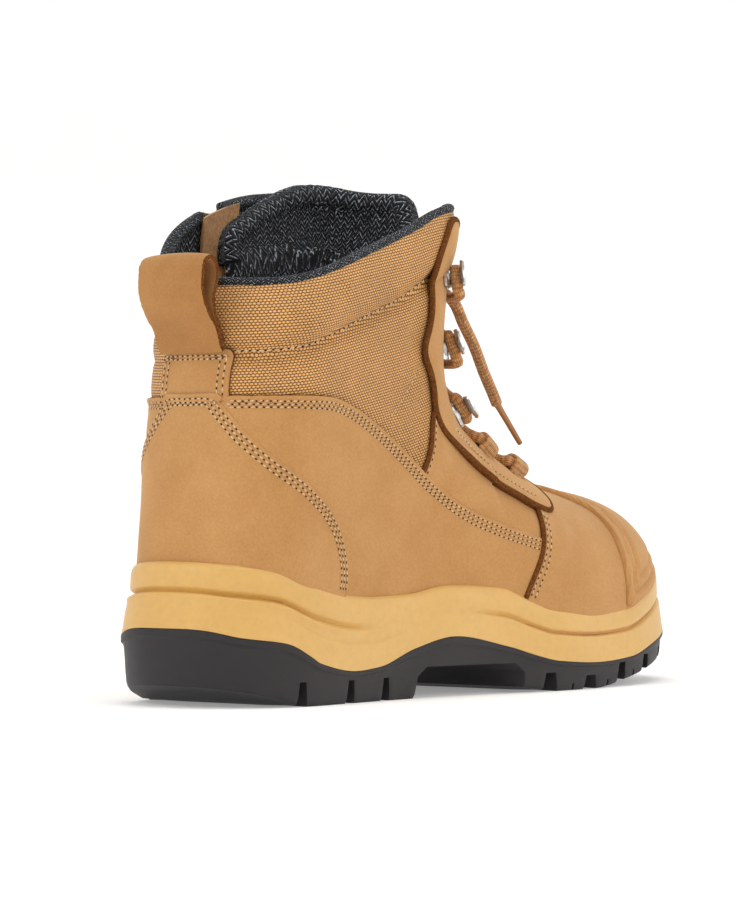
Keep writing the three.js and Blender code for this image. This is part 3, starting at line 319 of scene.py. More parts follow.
# %% Its normals, and the shared numbering of its points
def grid_normals(point):
    normal = np.zeros_like(point)
    for part, sign in ((slice(0, COLUMNS), -1), (slice(COLUMNS, 2 * COLUMNS), 1)):
        piece = point[:, part]
        up = np.gradient(piece, axis=0)
        across = np.gradient(piece, axis=1)
        n = np.cross(up, across)
        n = n / np.maximum(np.linalg.norm(n, axis=2, keepdims=True), 1e-9)
        if np.sum(n[:, :, 1]) * sign < 0:
            n = -n
        normal[:, part] = n
    front = normal[:, 0] + normal[:, -1]
    normal[:, 0] = front
    normal[:, -1] = front
    back = normal[:, COLUMNS - 1] + normal[:, COLUMNS]
    closed = ~grid_on_bed
    normal[closed, COLUMNS - 1] = back[closed]
    normal[closed, COLUMNS] = back[closed]
    normal[0] = (1, 0, 0)
    return normal / np.maximum(np.linalg.norm(normal, axis=2, keepdims=True), 1e-9)


def grid_faces():
    count = 2 * COLUMNS
    number = np.arange((ROWS + 1) * count).reshape(ROWS + 1, count)
    number[:, -1] = number[:, 0]
    closed = ~grid_on_bed
    number[closed, COLUMNS] = number[closed, COLUMNS - 1]
    columns = [c for c in range(count - 1) if c != COLUMNS - 1]
    a = number[:-1][:, columns]
    b = number[:-1][:, [c + 1 for c in columns]]
    c = number[1:][:, [c + 1 for c in columns]]
    d = number[1:][:, columns]
    return np.stack([a, b, c, d], axis=-1).reshape(-1, 4)


grid_normal = grid_normals(grid_point)
quads = grid_faces()
P = grid_point.reshape(-1, 3)
N = grid_normal.reshape(-1, 3)
X, Y, Z = P[:, 0], P[:, 1], P[:, 2]
T = grid_slice.reshape(-1)
FRONT = grid_front.reshape(-1)
first = quads[len(quads) // 2]
turned = np.dot(np.cross(P[first[1]] - P[first[0]], P[first[3]] - P[first[0]]), N[first[0]]) < 0
if turned:
    quads = quads[:, ::-1]
print("faces on the last:", len(quads))

# %% [markdown]
# A panel is cut from the grid by a field: a number at every grid point that is the distance, in
# millimetres, inside the panel's edge. Faces that the edge crosses are cut exactly on it. The cut
# sheet then gets an outer face, an inner face and a rim, each with its own material.

# %% Distance inside an outline
def smooth_outline(rows, scale=(1, 1), steps=8):
    """A curve through the rows of a closed outline, in millimetres."""
    corners = np.array(rows, float) * scale
    p = []
    for a, b in zip(corners, np.roll(corners, -1, axis=0)):
        p.append(a)
        run = np.linalg.norm(b - a)
        if run > 40:
            p += [a + (b - a) * 5 / run, b - (b - a) * 5 / run]
    made = []
    for i in range(len(p)):
        a, b, c, d = (p[(i + k) % len(p)] for k in (-1, 0, 1, 2))
        t0 = 0.0
        t1 = max(np.linalg.norm(b - a), 1e-6) ** 0.5
        t2 = t1 + max(np.linalg.norm(c - b), 1e-6) ** 0.5
        t3 = t2 + max(np.linalg.norm(d - c), 1e-6) ** 0.5
        for t in np.linspace(t1, t2, steps, endpoint=False):
            ab = (t1 - t) / (t1 - t0) * a + (t - t0) / (t1 - t0) * b
            bc = (t2 - t) / (t2 - t1) * b + (t - t1) / (t2 - t1) * c
            cd = (t3 - t) / (t3 - t2) * c + (t - t2) / (t3 - t2) * d
            abc = (t2 - t) / (t2 - t0) * ab + (t - t0) / (t2 - t0) * bc
            bcd = (t3 - t) / (t3 - t1) * bc + (t - t1) / (t3 - t1) * cd
            made.append((t2 - t) / (t2 - t1) * abc + (t - t1) / (t2 - t1) * bcd)
    return np.array(made)


def inside_outline(outline, u, v):
    """Signed distance of the points (u, v) inside a closed outline."""
    nearest = np.full(len(u), 1e9)
    crossings = np.zeros(len(u), int)
    for a, b in zip(outline, np.roll(outline, -1, axis=0)):
        edge = b - a
        share = np.clip(((u - a[0]) * edge[0] + (v - a[1]) * edge[1]) / max(edge @ edge, 1e-9), 0, 1)
        away = (u - a[0] - share * edge[0]) ** 2 + (v - a[1] - share * edge[1]) ** 2
        nearest = np.minimum(nearest, away)
        if a[1] != b[1]:
            spans = (a[1] > v) != (b[1] > v)
            crossings += spans & (u < a[0] + (v - a[1]) / (b[1] - a[1]) * edge[0])
    return np.sqrt(nearest) * np.where(crossings % 2 == 1, 1, -1)


# %% Cut a sheet out of the grid
def cut_sheet(field, values):
    """Faces where the field is above zero, cut on its zero line, with every value carried along."""
    inside = field > 0
    count = inside[quads].sum(axis=1)
    faces = [tuple(q) for q in quads[count == 4]]
    rows = [values]
    made = {}
    total = len(values)

    def crossing(a, b):
        nonlocal total
        key = (min(a, b), max(a, b))
        if key not in made:
            share = field[a] / (field[a] - field[b])
            rows.append((values[a] + (values[b] - values[a]) * share)[None])
            made[key] = total
            total += 1
        return made[key]

    for q in quads[(count > 0) & (count < 4)]:
        ring = []
        for k in range(4):
            a, b = int(q[k]), int(q[(k + 1) % 4])
            if inside[a]:
                ring.append(a)
            if inside[a] != inside[b]:
                ring.append(crossing(a, b))
        if len(ring) > 2:
            faces.append(tuple(ring))
    table = np.concatenate(rows)
    used = sorted({v for f in faces for v in f})
    renumber = {old: new for new, old in enumerate(used)}
    return table[used], [tuple(renumber[v] for v in f) for f in faces]


def rim_edges(faces):
    """The directed edges that only one face has."""
    seen = {}
    for face in faces:
        for k, a in enumerate(face):
            b = face[(k + 1) % len(face)]
            key = (min(a, b), max(a, b))
            seen[key] = None if key in seen else (a, b)
    return [edge for edge in seen.values() if edge]


# %% Put a mesh into the scene
COLLECTION = bpy.context.scene.collection


def add_mesh(name, points, faces, materials, slots=None, uv=None, smooth=True, angle=40):
    mesh = bpy.data.meshes.new(name)
    mesh.from_pydata(metres(points).tolist(), [], faces)
    for material in materials:
        mesh.materials.append(material)
    if slots is not None:
        mesh.polygons.foreach_set("material_index", slots)
    if uv is not None:
        layer = mesh.uv_layers.new(name="surface")
        corner = np.zeros(len(mesh.loops), int)
        mesh.loops.foreach_get("vertex_index", corner)
        layer.data.foreach_set("uv", np.asarray(uv, float)[corner].reshape(-1))
    mesh.polygons.foreach_set("use_smooth", [smooth] * len(mesh.polygons))
    if smooth:
        mesh.set_sharp_from_angle(angle=math.radians(angle))
    mesh.validate()
    mesh.update()
    piece = bpy.data.objects.new(name, mesh)
    COLLECTION.objects.link(piece)
    return piece


def finish_piece(piece, slot, *nodes, body="boot"):
    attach(piece, body)
    if nodes:
        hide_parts(*nodes)
    piece.data.calc_loop_triangles()
    print(piece.name, len(piece.data.loop_triangles), "triangles")
    return piece


# %% [markdown]
# The soft relief of the upper is listed: shallow troughs and low ridges, in millimetres of the side
# view. Each has two ends, a depth and a width. All layers move together, so none of them cuts into
# another.

# %% Creases of the upper
CREASES = [
    # x0, z0, x1, z1, depth, width, hand
    (176, 68, 214, 62, -0.5, 5.0, "both"),
    (188, 46, 206, 66, -0.35, 5.0, "lateral"),
    (150, 52, 176, 44, -0.45, 7.0, "both"),
    (96, 86, 132, 58, -0.5, 8.0, "both"),
    (108, 62, 150, 50, 0.4, 9.0, "both"),
    (70, 96, 88, 60, -0.45, 7.0, "both"),
    (30, 70, 56, 58, -0.4, 9.0, "both"),
    (24, 92, 44, 84, 0.35, 8.0, "both"),
    (84, 100, 116, 104, -0.7, 6.0, "lateral"),
    (60, 126, 100, 120, -0.5, 9.0, "both"),
    (100, 140, 118, 128, -0.6, 6.0, "lateral"),
    (44, 148, 60, 156, -0.5, 6.0, "both"),
    (78, 156, 94, 168, -0.6, 7.0, "both"),
    (60, 150, 66, 158, 0.4, 5.0, "both"),
    (104, 160, 112, 176, 0.4, 6.0, "both"),
    (130, 70, 146, 60, -0.35, 6.0, "both"),
    (134, 196, 118, 96, -2.0, 24.0, "both"),
]


def relief(x, z, y):
    total = np.zeros_like(x)
    for x0, z0, x1, z1, depth, width, hand in CREASES:
        along = np.array([x1 - x0, z1 - z0], float)
        length = np.linalg.norm(along)
        along = along / length
        share = ((x - x0) * along[0] + (z - z0) * along[1]) / length
        bow = 1.6 * np.sin(np.pi * np.clip(share, 0, 1))
        away = -(x - x0) * along[1] + (z - z0) * along[0] - bow
        fade = ease(share / 0.3) * ease((1 - share) / 0.3)
        part = depth * np.exp(-((away / width) ** 2)) * fade
        if hand == "lateral":
            part = part * (y < 0)
        total = total + part
    ripple = 0.12 * np.sin(0.11 * x + 0.05 * z) * np.sin(0.07 * x - 0.13 * z)
    return total + ripple


def arc_table():
    """How far along the curve round the heel a place lies, by its depth from the back."""
    radius = HEEL_ROUND - LIP_WIDTH
    depth = radius * np.linspace(0, 1, 400) ** 2
    half = SHAFT_WIDTH / 2 * rounded(depth, radius)
    run = np.concatenate([[0], np.cumsum(np.hypot(np.diff(depth), np.diff(half)))])
    return depth, run


ARC_DEPTH, ARC_RUN = arc_table()


def cloth_u(x, z):
    """Distance round the shaft, in millimetres, for a weave that goes round the heel unstretched."""
    depth = x - back_x(z)
    end = ARC_DEPTH[-1]
    return np.where(depth >= end, x, back_x(z) + end - ARC_RUN[-1] + np.interp(depth, ARC_DEPTH, ARC_RUN))


def cloth_v(x, z):
    """Height across the weave, whose rows rise towards the front with the quilting seam."""
    rise = (line["lateral"](x / SOLE_LENGTH) - line["lateral"](0)) * BOOT_HEIGHT
    return z - 0.6 * rise


def front_distance():
    """Distance from the front ridge along each slice, in millimetres."""
    arc = np.zeros((ROWS + 1, 2 * COLUMNS))
    for part, sign in ((np.arange(COLUMNS), -1), (np.arange(2 * COLUMNS - 1, COLUMNS - 1, -1), 1)):
        step = np.linalg.norm(np.diff(grid_point[:, part], axis=1), axis=2)
        arc[:, part[1:]] = sign * np.cumsum(step, axis=1)
    return arc.reshape(-1)


RELIEF = relief(X, Z, Y)
GRID_TABLE = np.column_stack([P, N, cloth_u(X, Z), cloth_v(X, Z), RELIEF])
print("relief from", RELIEF.min().round(2), "to", RELIEF.max().round(2), "mm")


# %% A panel with an outer face, a rim and an inner face
def edge_drop(distance, radius):
    """How far a face has fallen at a distance from its rounded edge."""
    share = np.clip(1 - distance / radius, 0, 1)
    return radius * (1 - np.sqrt(1 - share**2))


def panel(name, field, outer, inner, materials, uv=None):
    """outer and inner give the height over the last for (x, y, z, distance inside the edge)."""
    whole = np.column_stack([GRID_TABLE, field])
    if uv is not None:
        whole[:, 6:8] = uv
    table, faces = cut_sheet(field, whole)
    point, normal, uv, low, depth = table[:, :3], table[:, 3:6], table[:, 6:8], table[:, 8], table[:, 9]
    normal = normal / np.linalg.norm(normal, axis=1, keepdims=True)
    x, y, z = point.T
    top = point + normal * (outer(x, y, z, depth) + low)[:, None]
    under = point + normal * (inner(x, y, z, depth) + low)[:, None]
    count = len(point)
    rim = [(b, a, a + count, b + count) for a, b in rim_edges(faces)]
    below = [tuple(v + count for v in reversed(f)) for f in faces]
    slots = [0] * len(faces) + [1] * len(rim) + [2] * len(below)
    all_points = np.concatenate([top, under])
    return add_mesh(name, all_points, faces + rim + below, materials, slots, np.concatenate([uv, uv]))


# %% [markdown]
# Rows of stitches, bindings and piping follow lines of equal distance from a panel's edge. The
# line is found on the grid, face by face, and its pieces are joined end to end.

# %% Follow a line on the grid
def follow(field, level, keep=None):
    """Lines on the grid where the field has this level and keep is above zero."""
    f = field - level
    above = f > 0
    count = above[quads].sum(axis=1)
    links = {}
    for q in quads[(count > 0) & (count < 4)]:
        ends = []
        for k in range(4):
            a, b = int(q[k]), int(q[(k + 1) % 4])
            if above[a] != above[b]:
                ends.append((min(a, b), max(a, b)))
        if len(ends) == 2:
            links.setdefault(ends[0], []).append(ends[1])
            links.setdefault(ends[1], []).append(ends[0])
    lines = []
    unseen = dict.fromkeys(links)
    starts = [e for e in links if len(links[e]) == 1] + list(links)
    for start in starts:
        if start not in unseen:
            continue
        chain = [start]
        unseen.pop(start)
        while True:
            ahead = [e for e in links[chain[-1]] if e in unseen]
            if not ahead:
                break
            chain.append(ahead[0])
            unseen.pop(ahead[0])
        if len(chain) > 5:
            lines += kept_stretches(f, np.array(chain), keep)
    return lines


def kept_stretches(f, chain, keep):
    """Points and normals along a chain of crossed grid edges, split where keep falls below zero."""
    a, b = chain[:, 0], chain[:, 1]
    share = (f[a] / (f[a] - f[b]))[:, None]
    point = P[a] + (P[b] - P[a]) * share
    normal = N[a] + (N[b] - N[a]) * share
    normal = normal / np.linalg.norm(normal, axis=1, keepdims=True)
    point = point + normal * relief(point[:, 0], point[:, 2], point[:, 1])[:, None]
    if keep is None:
        return [(point, normal)]
    good = keep[a] + (keep[b] - keep[a]) * share[:, 0] > 0
    parts = []
    start = None
    for i, ok in enumerate(list(good) + [False]):
        if ok and start is None:
            start = i
        if not ok and start is not None:
            if i - start > 4:
                parts.append((point[start:i], normal[start:i]))
            start = None
    return parts


def even(point, normal, pitch):
    """A line resampled at an even pitch."""
    run = np.concatenate([[0], np.cumsum(np.linalg.norm(np.diff(point, axis=0), axis=1))])
    if run[-1] < pitch:
        return point[:0], normal[:0]
    count = max(int(round(run[-1] / pitch)), 1)
    at = np.linspace(0, run[-1], count + 1)
    smooth = np.column_stack([np.interp(at, run, point[:, k]) for k in range(3)])
    turned = np.column_stack([np.interp(at, run, normal[:, k]) for k in range(3)])
    return smooth, turned / np.linalg.norm(turned, axis=1, keepdims=True)


# %% One stitch, and rows of them
STITCH_HEIGHT = 0.5
HOLE_LENGTH = 0.52
HOLE_WIDTH = 0.36


def stitch_shape(length, width, height, along=5, round_steps=6):
    """A short closed bead, thin at both ends."""
    points = []
    for i in range(along + 1):
        turn_at = math.pi * i / along
        r = max(math.sin(turn_at), 0.25) ** 0.6
        for j in range(round_steps):
            angle = 2 * math.pi * j / round_steps
            x = -math.cos(turn_at) * length / 2
            points.append((x, r * math.cos(angle) * width / 2, r * math.sin(angle) * height / 2))
    faces = []
    for i in range(along):
        for j in range(round_steps):
            k = (j + 1) % round_steps
            a, b = i * round_steps + j, i * round_steps + k
            faces.append((a, b, b + round_steps, a + round_steps))
    faces.append(tuple(reversed(range(round_steps))))
    faces.append(tuple(along * round_steps + j for j in range(round_steps)))
    return np.array(points), faces


class Seams:
    """Gathers stitches and their needle holes, dark discs of painted shade, into one piece in the scene."""

    def __init__(self):
        self.points, self.faces, self.slots, self.count = [], [], [], 0

    def add(self, shape, faces, place, frame_axes, slot):
        moved = shape @ frame_axes + place
        base = self.count
        self.points.append(moved)
        self.faces += [tuple(v + base for v in f) for f in faces]
        self.slots += [slot] * len(faces)
        self.count += len(moved)

    def row(self, lines, height, pitch=2.5, length=1.5, width=0.62, holes=True, slant=0.12):
        shape, faces = stitch_shape(length, width, STITCH_HEIGHT)
        around = np.linspace(0, 5.236, 6)
        hole = np.array([(HOLE_LENGTH * math.cos(a), HOLE_WIDTH * math.sin(a), 0) for a in around])
        for point, normal in lines:
            point, normal = even(point, normal, pitch)
            for i in range(len(point) - 1):
                along = point[i + 1] - point[i]
                size = np.linalg.norm(along)
                if size < 0.4 * pitch:
                    continue
                along = along / size
                up = normal[i] + normal[i + 1]
                up = up - along * (up @ along)
                up = up / np.linalg.norm(up)
                across = np.cross(up, along)
                lean = along * math.cos(slant) + across * math.sin(slant)
                axes = np.array([lean, np.cross(up, lean), up])
                place = (point[i] + point[i + 1]) / 2 + up * height
                self.add(shape, faces, place, axes, 0)
                # A needle hole is a flat dark disc just over the leather: painted shade for the hole.
                if holes:
                    plain = np.array([along, across, up])
                    ring = [tuple(range(6))]
                    self.add(hole, ring, point[i] + normal[i] * (height + 0.04), plain, 1)

    def piece(self, name, materials):
        return add_mesh(name, np.concatenate(self.points), self.faces, materials, self.slots)


# %% A tube along a line, round or flattened, with its length and turn as a UV map
def catmull(points, steps):
    """A smooth curve through the points."""
    p = np.asarray(points, float)
    ends = np.concatenate([[2 * p[0] - p[1]], p, [2 * p[-1] - p[-2]]])
    made = []
    for i in range(len(p) - 1):
        a, b, c, d = ends[i : i + 4]
        for s in np.linspace(0, 1, steps, endpoint=False):
            bend = (2 * a - 5 * b + 4 * c - d) * s**2
            made.append(0.5 * (2 * b + (c - a) * s + bend + (3 * b - a - 3 * c + d) * s**3))
    made.append(p[-1])
    return np.array(made)


def tube(point, width, height, sides=16, normal=None):
    """Points, faces and UVs of a closed tube. normal says which way its height points."""
    point = np.asarray(point, float)
    ahead = np.gradient(point, axis=0)
    ahead = ahead / np.maximum(np.linalg.norm(ahead, axis=1, keepdims=True), 1e-9)
    if normal is None:
        side_way = np.cross(ahead[0], (0, 0, 1.0))
        if np.linalg.norm(side_way) < 0.1:
            side_way = np.cross(ahead[0], (1.0, 0, 0))
        ups = []
        up = np.cross(side_way, ahead[0])
        for direction in ahead:
            up = up - direction * (up @ direction)
            up = up / np.linalg.norm(up)
            ups.append(up)
        up = np.array(ups)
    else:
        up = normal - ahead * np.sum(normal * ahead, axis=1, keepdims=True)
        up = up / np.maximum(np.linalg.norm(up, axis=1, keepdims=True), 1e-9)
    across = np.cross(ahead, up)
    run = np.concatenate([[0], np.cumsum(np.linalg.norm(np.diff(point, axis=0), axis=1))])
    width = np.broadcast_to(width, len(point)).astype(float)
    height = np.broadcast_to(height, len(point)).astype(float)
    angle = np.linspace(0, 2 * math.pi, sides, endpoint=False)
    rings = (
        point[:, None]
        + across[:, None] * (np.cos(angle)[None, :, None] * width[:, None, None] / 2)
        + up[:, None] * (np.sin(angle)[None, :, None] * height[:, None, None] / 2)
    )
    count = len(point)
    points = rings.reshape(-1, 3)
    uv = np.stack(np.broadcast_arrays(run[:, None], (angle / (2 * math.pi))[None]), axis=-1).reshape(-1, 2)
    faces = []
    for i in range(count - 1):
        for j in range(sides):
            k = (j + 1) % sides
            faces.append((i * sides + j, i * sides + k, (i + 1) * sides + k, (i + 1) * sides + j))
    ends = np.array([point[0] - ahead[0] * height[0] * 0.2, point[-1] + ahead[-1] * height[-1] * 0.2])
    points = np.concatenate([points, ends])
    uv = np.concatenate([uv, [(0, 0), (run[-1], 0)]])
    last = (count - 1) * sides
    for j in range(sides):
        k = (j + 1) % sides
        faces.append((k, j, count * sides))
        faces.append((last + j, last + k, count * sides + 1))
    return points, faces, uv


def join_shapes(shapes):
    """Several shapes of points, faces and UVs as one."""
    points, faces, uvs, count = [], [], [], 0
    for p, f, uv in shapes:
        points.append(p)
        faces += [tuple(v + count for v in face) for face in f]
        uvs.append(uv)
        count += len(p)
    return np.concatenate(points), faces, np.concatenate(uvs)


# %% [markdown]
# Materials are built from nodes. Colours are read off the real finishes as sRGB hex values and
# turned to linear light. Pattern sizes are in millimetres.

# %% Material helpers
def colour(code):
    """An sRGB hex value as linear red, green, blue and alpha."""
    parts = [int(code[k : k + 2], 16) / 255 for k in (0, 2, 4)]
    return tuple(p / 12.92 if p <= 0.04045 else ((p + 0.055) / 1.055) ** 2.4 for p in parts) + (1.0,)


def add_node(tree, kind, inputs=None, **settings):
    """Adds a node with its settings; each input is a value or another node's socket."""
    node = tree.nodes.new(kind)
    for name, value in settings.items():
        setattr(node, name, value)
    for name, value in (inputs or {}).items():
        socket = node.inputs[name]
        if isinstance(value, bpy.types.NodeSocket):
            tree.links.new(value, socket)
        else:
            socket.default_value = value
    return node


def start_material(name, **constants):
    """A material with a Principled shader whose constants sit on its own sockets."""
    material = bpy.data.materials.new(name)
    material.use_nodes = True
    tree = material.node_tree
    shader = tree.nodes["Principled BSDF"]
    for key, value in constants.items():
        shader.inputs[key.replace("_", " ")].default_value = value
    return material, tree, shader


def math_node(tree, operation, a, b=0.0, c=0.0):
    return add_node(tree, "ShaderNodeMath", {0: a, 1: b, 2: c}, operation=operation).outputs[0]


def ramp(tree, factor, stops):
    """A colour ramp through (place, hex) stops."""
    node = add_node(tree, "ShaderNodeValToRGB", {"Fac": factor})
    elements = node.color_ramp.elements
    while len(elements) < len(stops):
        elements.new(0.5)
    for element, (place, code) in zip(elements, stops):
        element.position = place
        element.color = colour(code)
    return node.outputs["Color"]


def object_place(tree):
    return add_node(tree, "ShaderNodeTexCoord").outputs["Object"]


def surface_place(tree):
    """The two directions of a piece's own map, in millimetres."""
    surface = add_node(tree, "ShaderNodeUVMap", uv_map="surface").outputs["UV"]
    parts = add_node(tree, "ShaderNodeSeparateXYZ", {"Vector": surface}).outputs
    return parts["X"], parts["Y"]


def noise(tree, vector, size_mm, detail=3.0, rough=0.55):
    """Noise whose features are about size_mm across, on coordinates in metres."""
    inputs = {"Vector": vector, "Scale": 1000 / size_mm, "Detail": detail, "Roughness": rough}
    return add_node(tree, "ShaderNodeTexNoise", inputs).outputs["Fac"]


def bump(tree, shader, height, depth_mm, strength=1.0, under=None):
    inputs = {"Height": height, "Distance": depth_mm / 1000, "Strength": strength}
    if under is not None:
        inputs["Normal"] = under
    made = add_node(tree, "ShaderNodeBump", inputs).outputs["Normal"]
    tree.links.new(made, shader.inputs["Normal"])
    return made


def mixed(tree, factor, a, b, blend="MIX"):
    inputs = {0: factor, 6: a, 7: b}
    return add_node(tree, "ShaderNodeMix", inputs, data_type="RGBA", blend_type=blend).outputs[2]


# %% [markdown]
# Nubuck is cowhide sanded on its outer side. It has a very short nap, so it is matt with a soft
# glow at grazing angles, and its colour clouds where the nap lies another way.

# %% Nubuck
def nubuck(name, base, dark, light, cloud=26):
    constants = {"Roughness": 0.86, "IOR": 1.45, "Sheen_Weight": 0.35, "Sheen_Roughness": 0.45}
    material, tree, shader = start_material(name, **constants, Specular_IOR_Level=0.25)
    shader.inputs["Sheen Tint"].default_value = colour("F4DDB8")
    place = object_place(tree)
    clouds = noise(tree, place, cloud, 4, 0.6)
    nap = noise(tree, place, 0.9, 2, 0.5)
    grain = noise(tree, place, 0.35, 2, 0.5)
    tone = ramp(tree, clouds, [(0.3, dark), (0.52, base), (0.72, light)])
    fine = ramp(tree, nap, [(0.3, "B4B4B4"), (0.7, "F2F2F2")])
    tree.links.new(mixed(tree, 0.3, tone, fine, "MULTIPLY"), shader.inputs["Base Color"])
    soft = bump(tree, shader, noise(tree, place, 7, 3, 0.5), 0.35, 0.5)
    bump(tree, shader, math_node(tree, "ADD", nap, math_node(tree, "MULTIPLY", grain, 0.6)), 0.12, 0.55, soft)
    return material


leather = nubuck("nubuck_sanded_cowhide", "C6925A", "BF8A52", "CC9961")
# The pull loop gets a darker copy of the same nubuck, as painted shade.
loop_nubuck_painted_shade = nubuck("nubuck_pull_loop_painted_shade", "B17D48", "A77442", "B98650", 18)


# %% Raw cut edge of leather: rough fibres, darker partly as painted shade under stepped panel edges
def edge_fibres_and_shade_material():
    constants = {"Roughness": 0.95, "IOR": 1.45, "Specular_IOR_Level": 0.15}
    material, tree, shader = start_material("leather_edge_fibres_and_painted_shade", **constants)
    place = object_place(tree)
    fibres = noise(tree, place, 0.7, 3, 0.7)
    # Dark browns for the raw edge's fibres, darkened further as painted shade for the shadow where panels
    # step over one another.
    tone = ramp(tree, fibres, [(0.3, "45260E"), (0.55, "70421C"), (0.8, "9C622D")])
    tree.links.new(tone, shader.inputs["Base Color"])
    bump(tree, shader, fibres, 0.4, 0.8)
    return material


edge_fibres_and_shade = edge_fibres_and_shade_material()

# %% [markdown]
# The shaft is ballistic nylon: thick yarns in a basket weave, so the face is staggered rows of small
# raised dots, their tops lighter as painted highlight and the gaps between them darker as painted
# shade. The pattern follows a UV map in millimetres, which runs round the shaft. One dot is 1.5 mm
# long and the rows are 1.05 mm apart.

# %% Nylon basket weave
def weave():
    material, tree, shader = start_material("nylon_basket_weave", Roughness=0.6, IOR=1.53, Sheen_Weight=0.04)
    calc = partial(math_node, tree)
    across, up = surface_place(tree)
    across = calc("DIVIDE", across, 1.5)
    up = calc("DIVIDE", up, 1.05)
    odd = calc("MULTIPLY", calc("MODULO", calc("FLOOR", up), 2.0), 0.5)
    u = calc("SUBTRACT", calc("FRACT", calc("ADD", across, odd)), 0.5)
    v = calc("SUBTRACT", calc("FRACT", up), 0.5)
    spot = calc("ADD", calc("MULTIPLY", u, u), calc("MULTIPLY", v, v))
    height = calc("SUBTRACT", 1.0, calc("MULTIPLY", spot, 3.2))
    place = object_place(tree)
    uneven = calc("SUBTRACT", noise(tree, place, 1.6, 2, 0.6), 0.5)
    clouds = noise(tree, place, 20, 3, 0.5)
    level = calc("ADD", height, calc("MULTIPLY", uneven, 0.35))
    # The colour follows the dots' height: the darker gaps are painted shade and the lighter dot tops painted
    # highlight, with random unevenness.
    tone = ramp(tree, level, [(0.1, "5C3612"), (0.42, "C08540"), (0.85, "F0B66E")])
    shade = ramp(tree, clouds, [(0.3, "DCDCDC"), (0.7, "FFFFFF")])
    tree.links.new(mixed(tree, 0.6, tone, shade, "MULTIPLY"), shader.inputs["Base Color"])
    bump(tree, shader, level, 0.35, 0.9)
    return material


nylon = weave()

# %% [markdown]
# The lining and the tongue are a thick knit of black yarn with pale flecks. Its rows zigzag, one
# zigzag every 4.6 mm, and the rows lie 2.6 mm apart. The collar's binding is a finer knit.

# %% Knit
def knit(name="knit_zigzag", wave=4.6, rows=2.6, steep=2.4):
    constants = {"Roughness": 0.9, "IOR": 1.5, "Sheen_Weight": 0.04, "Sheen_Roughness": 0.5}
    material, tree, shader = start_material(name, **constants)
    calc = partial(math_node, tree)
    across, up = surface_place(tree)
    place = object_place(tree)
    wander = calc("MULTIPLY", noise(tree, place, 3.0, 2, 0.5), 0.5)
    swing = calc("FRACT", calc("DIVIDE", across, wave))
    zig = calc("ABSOLUTE", calc("SUBTRACT", swing, 0.5))
    height = calc("DIVIDE", up, rows)
    shifted = calc("ADD", height, calc("ADD", calc("MULTIPLY", zig, steep), wander))
    band = calc("ABSOLUTE", calc("SUBTRACT", calc("FRACT", shifted), 0.5))
    yarn = calc("SUBTRACT", 1.0, calc("MULTIPLY", band, 2.6))
    fleck = calc("MULTIPLY", noise(tree, place, 1.1, 2, 0.6), 1.9)
    level = calc("MULTIPLY", calc("MAXIMUM", yarn, 0.0), fleck)
    tone = ramp(tree, level, [(0.25, "050506"), (0.5, "101114"), (0.75, "3C4149"), (1.0, "B4BCC8")])
    tree.links.new(tone, shader.inputs["Base Color"])
    bump(tree, shader, yarn, 0.7, 0.9)
    return material


lining = knit()
binding_knit = knit("knit_collar_binding", 2.4, 1.6, 2.0)

# %% [markdown]
# The midsole is foamed polyurethane, poured into a mould: a satin skin, an even mustard with faint
# clouds, and a very fine pitting. The outsole is vulcanised rubber, nearly black, with its gloss
# changing a little in small patches.

# %% Moulded foam and rubber
def moulded(name, base, dark, light, roughness, speck, depth, ior):
    constants = {"Roughness": roughness, "IOR": ior, "Coat_Weight": 0.08, "Coat_Roughness": 0.3}
    material, tree, shader = start_material(name, **constants)
    place = object_place(tree)
    clouds = noise(tree, place, 60, 2, 0.5)
    tone = ramp(tree, clouds, [(0.3, dark), (0.5, base), (0.72, light)])
    dust = noise(tree, place, 3.5, 5, 0.7)
    grime = ramp(tree, dust, [(0.35, "D8D8D8"), (0.6, "FFFFFF")])
    tree.links.new(mixed(tree, 0.2, tone, grime, "MULTIPLY"), shader.inputs["Base Color"])
    gloss = add_node(tree, "ShaderNodeMapRange", {"Value": dust, 3: roughness - 0.07, 4: roughness + 0.1})
    tree.links.new(gloss.outputs["Result"], shader.inputs["Roughness"])
    bump(tree, shader, noise(tree, place, speck, 3, 0.6), depth, 0.5)
    return material


foam = moulded("polyurethane_foam_skin", "D8AB5F", "D3A55A", "DCB067", 0.42, 1.2, 0.1, 1.5)
rubber = moulded("vulcanised_rubber", "211D1F", "1B1819", "282426", 0.6, 0.9, 0.12, 1.45)


# %% Suede, thread, painted shade for needle holes, and tape
def plain_cloth(name, codes, size, roughness, depth, sheen=0.2):
    material, tree, shader = start_material(name, Roughness=roughness, IOR=1.5, Sheen_Weight=sheen)
    place = object_place(tree)
    fibres = noise(tree, place, size, 3, 0.65)
    stops = [(0.3, codes[0]), (0.5, codes[1]), (0.72, codes[2])]
    tree.links.new(ramp(tree, fibres, stops), shader.inputs["Base Color"])
    bump(tree, shader, fibres, depth, 0.7)
    return material


suede = plain_cloth("suede_split", ("8A5E35", "A3733F", "B98850"), 1.4, 0.95, 0.3, 0.4)
thread = plain_cloth("polyester_thread", ("B58B5C", "D2AE80", "E6CBA0"), 0.8, 0.55, 0.1)
# Needle holes are flat dark discs, painted shade where a real hole would lie in shadow.
needle_hole_shade = plain_cloth("needle_hole_shade", ("2C1606", "3C2210", "4C2E16"), 0.5, 0.95, 0.1, 0.0)
tape_cloth = plain_cloth("zip_tape_polyester", ("9A6C38", "B58348", "C89658"), 0.6, 0.8, 0.15)
insole_cloth = plain_cloth("insole_felt", ("26262A", "38383D", "4B4B52"), 1.0, 0.95, 0.2)


# %% [markdown]
# The hooks are stamped from nickel-plated steel: bright, with rounded edges and fine rubbed marks.
# A metal keeps the default index of refraction, and its colour comes from its base colour.

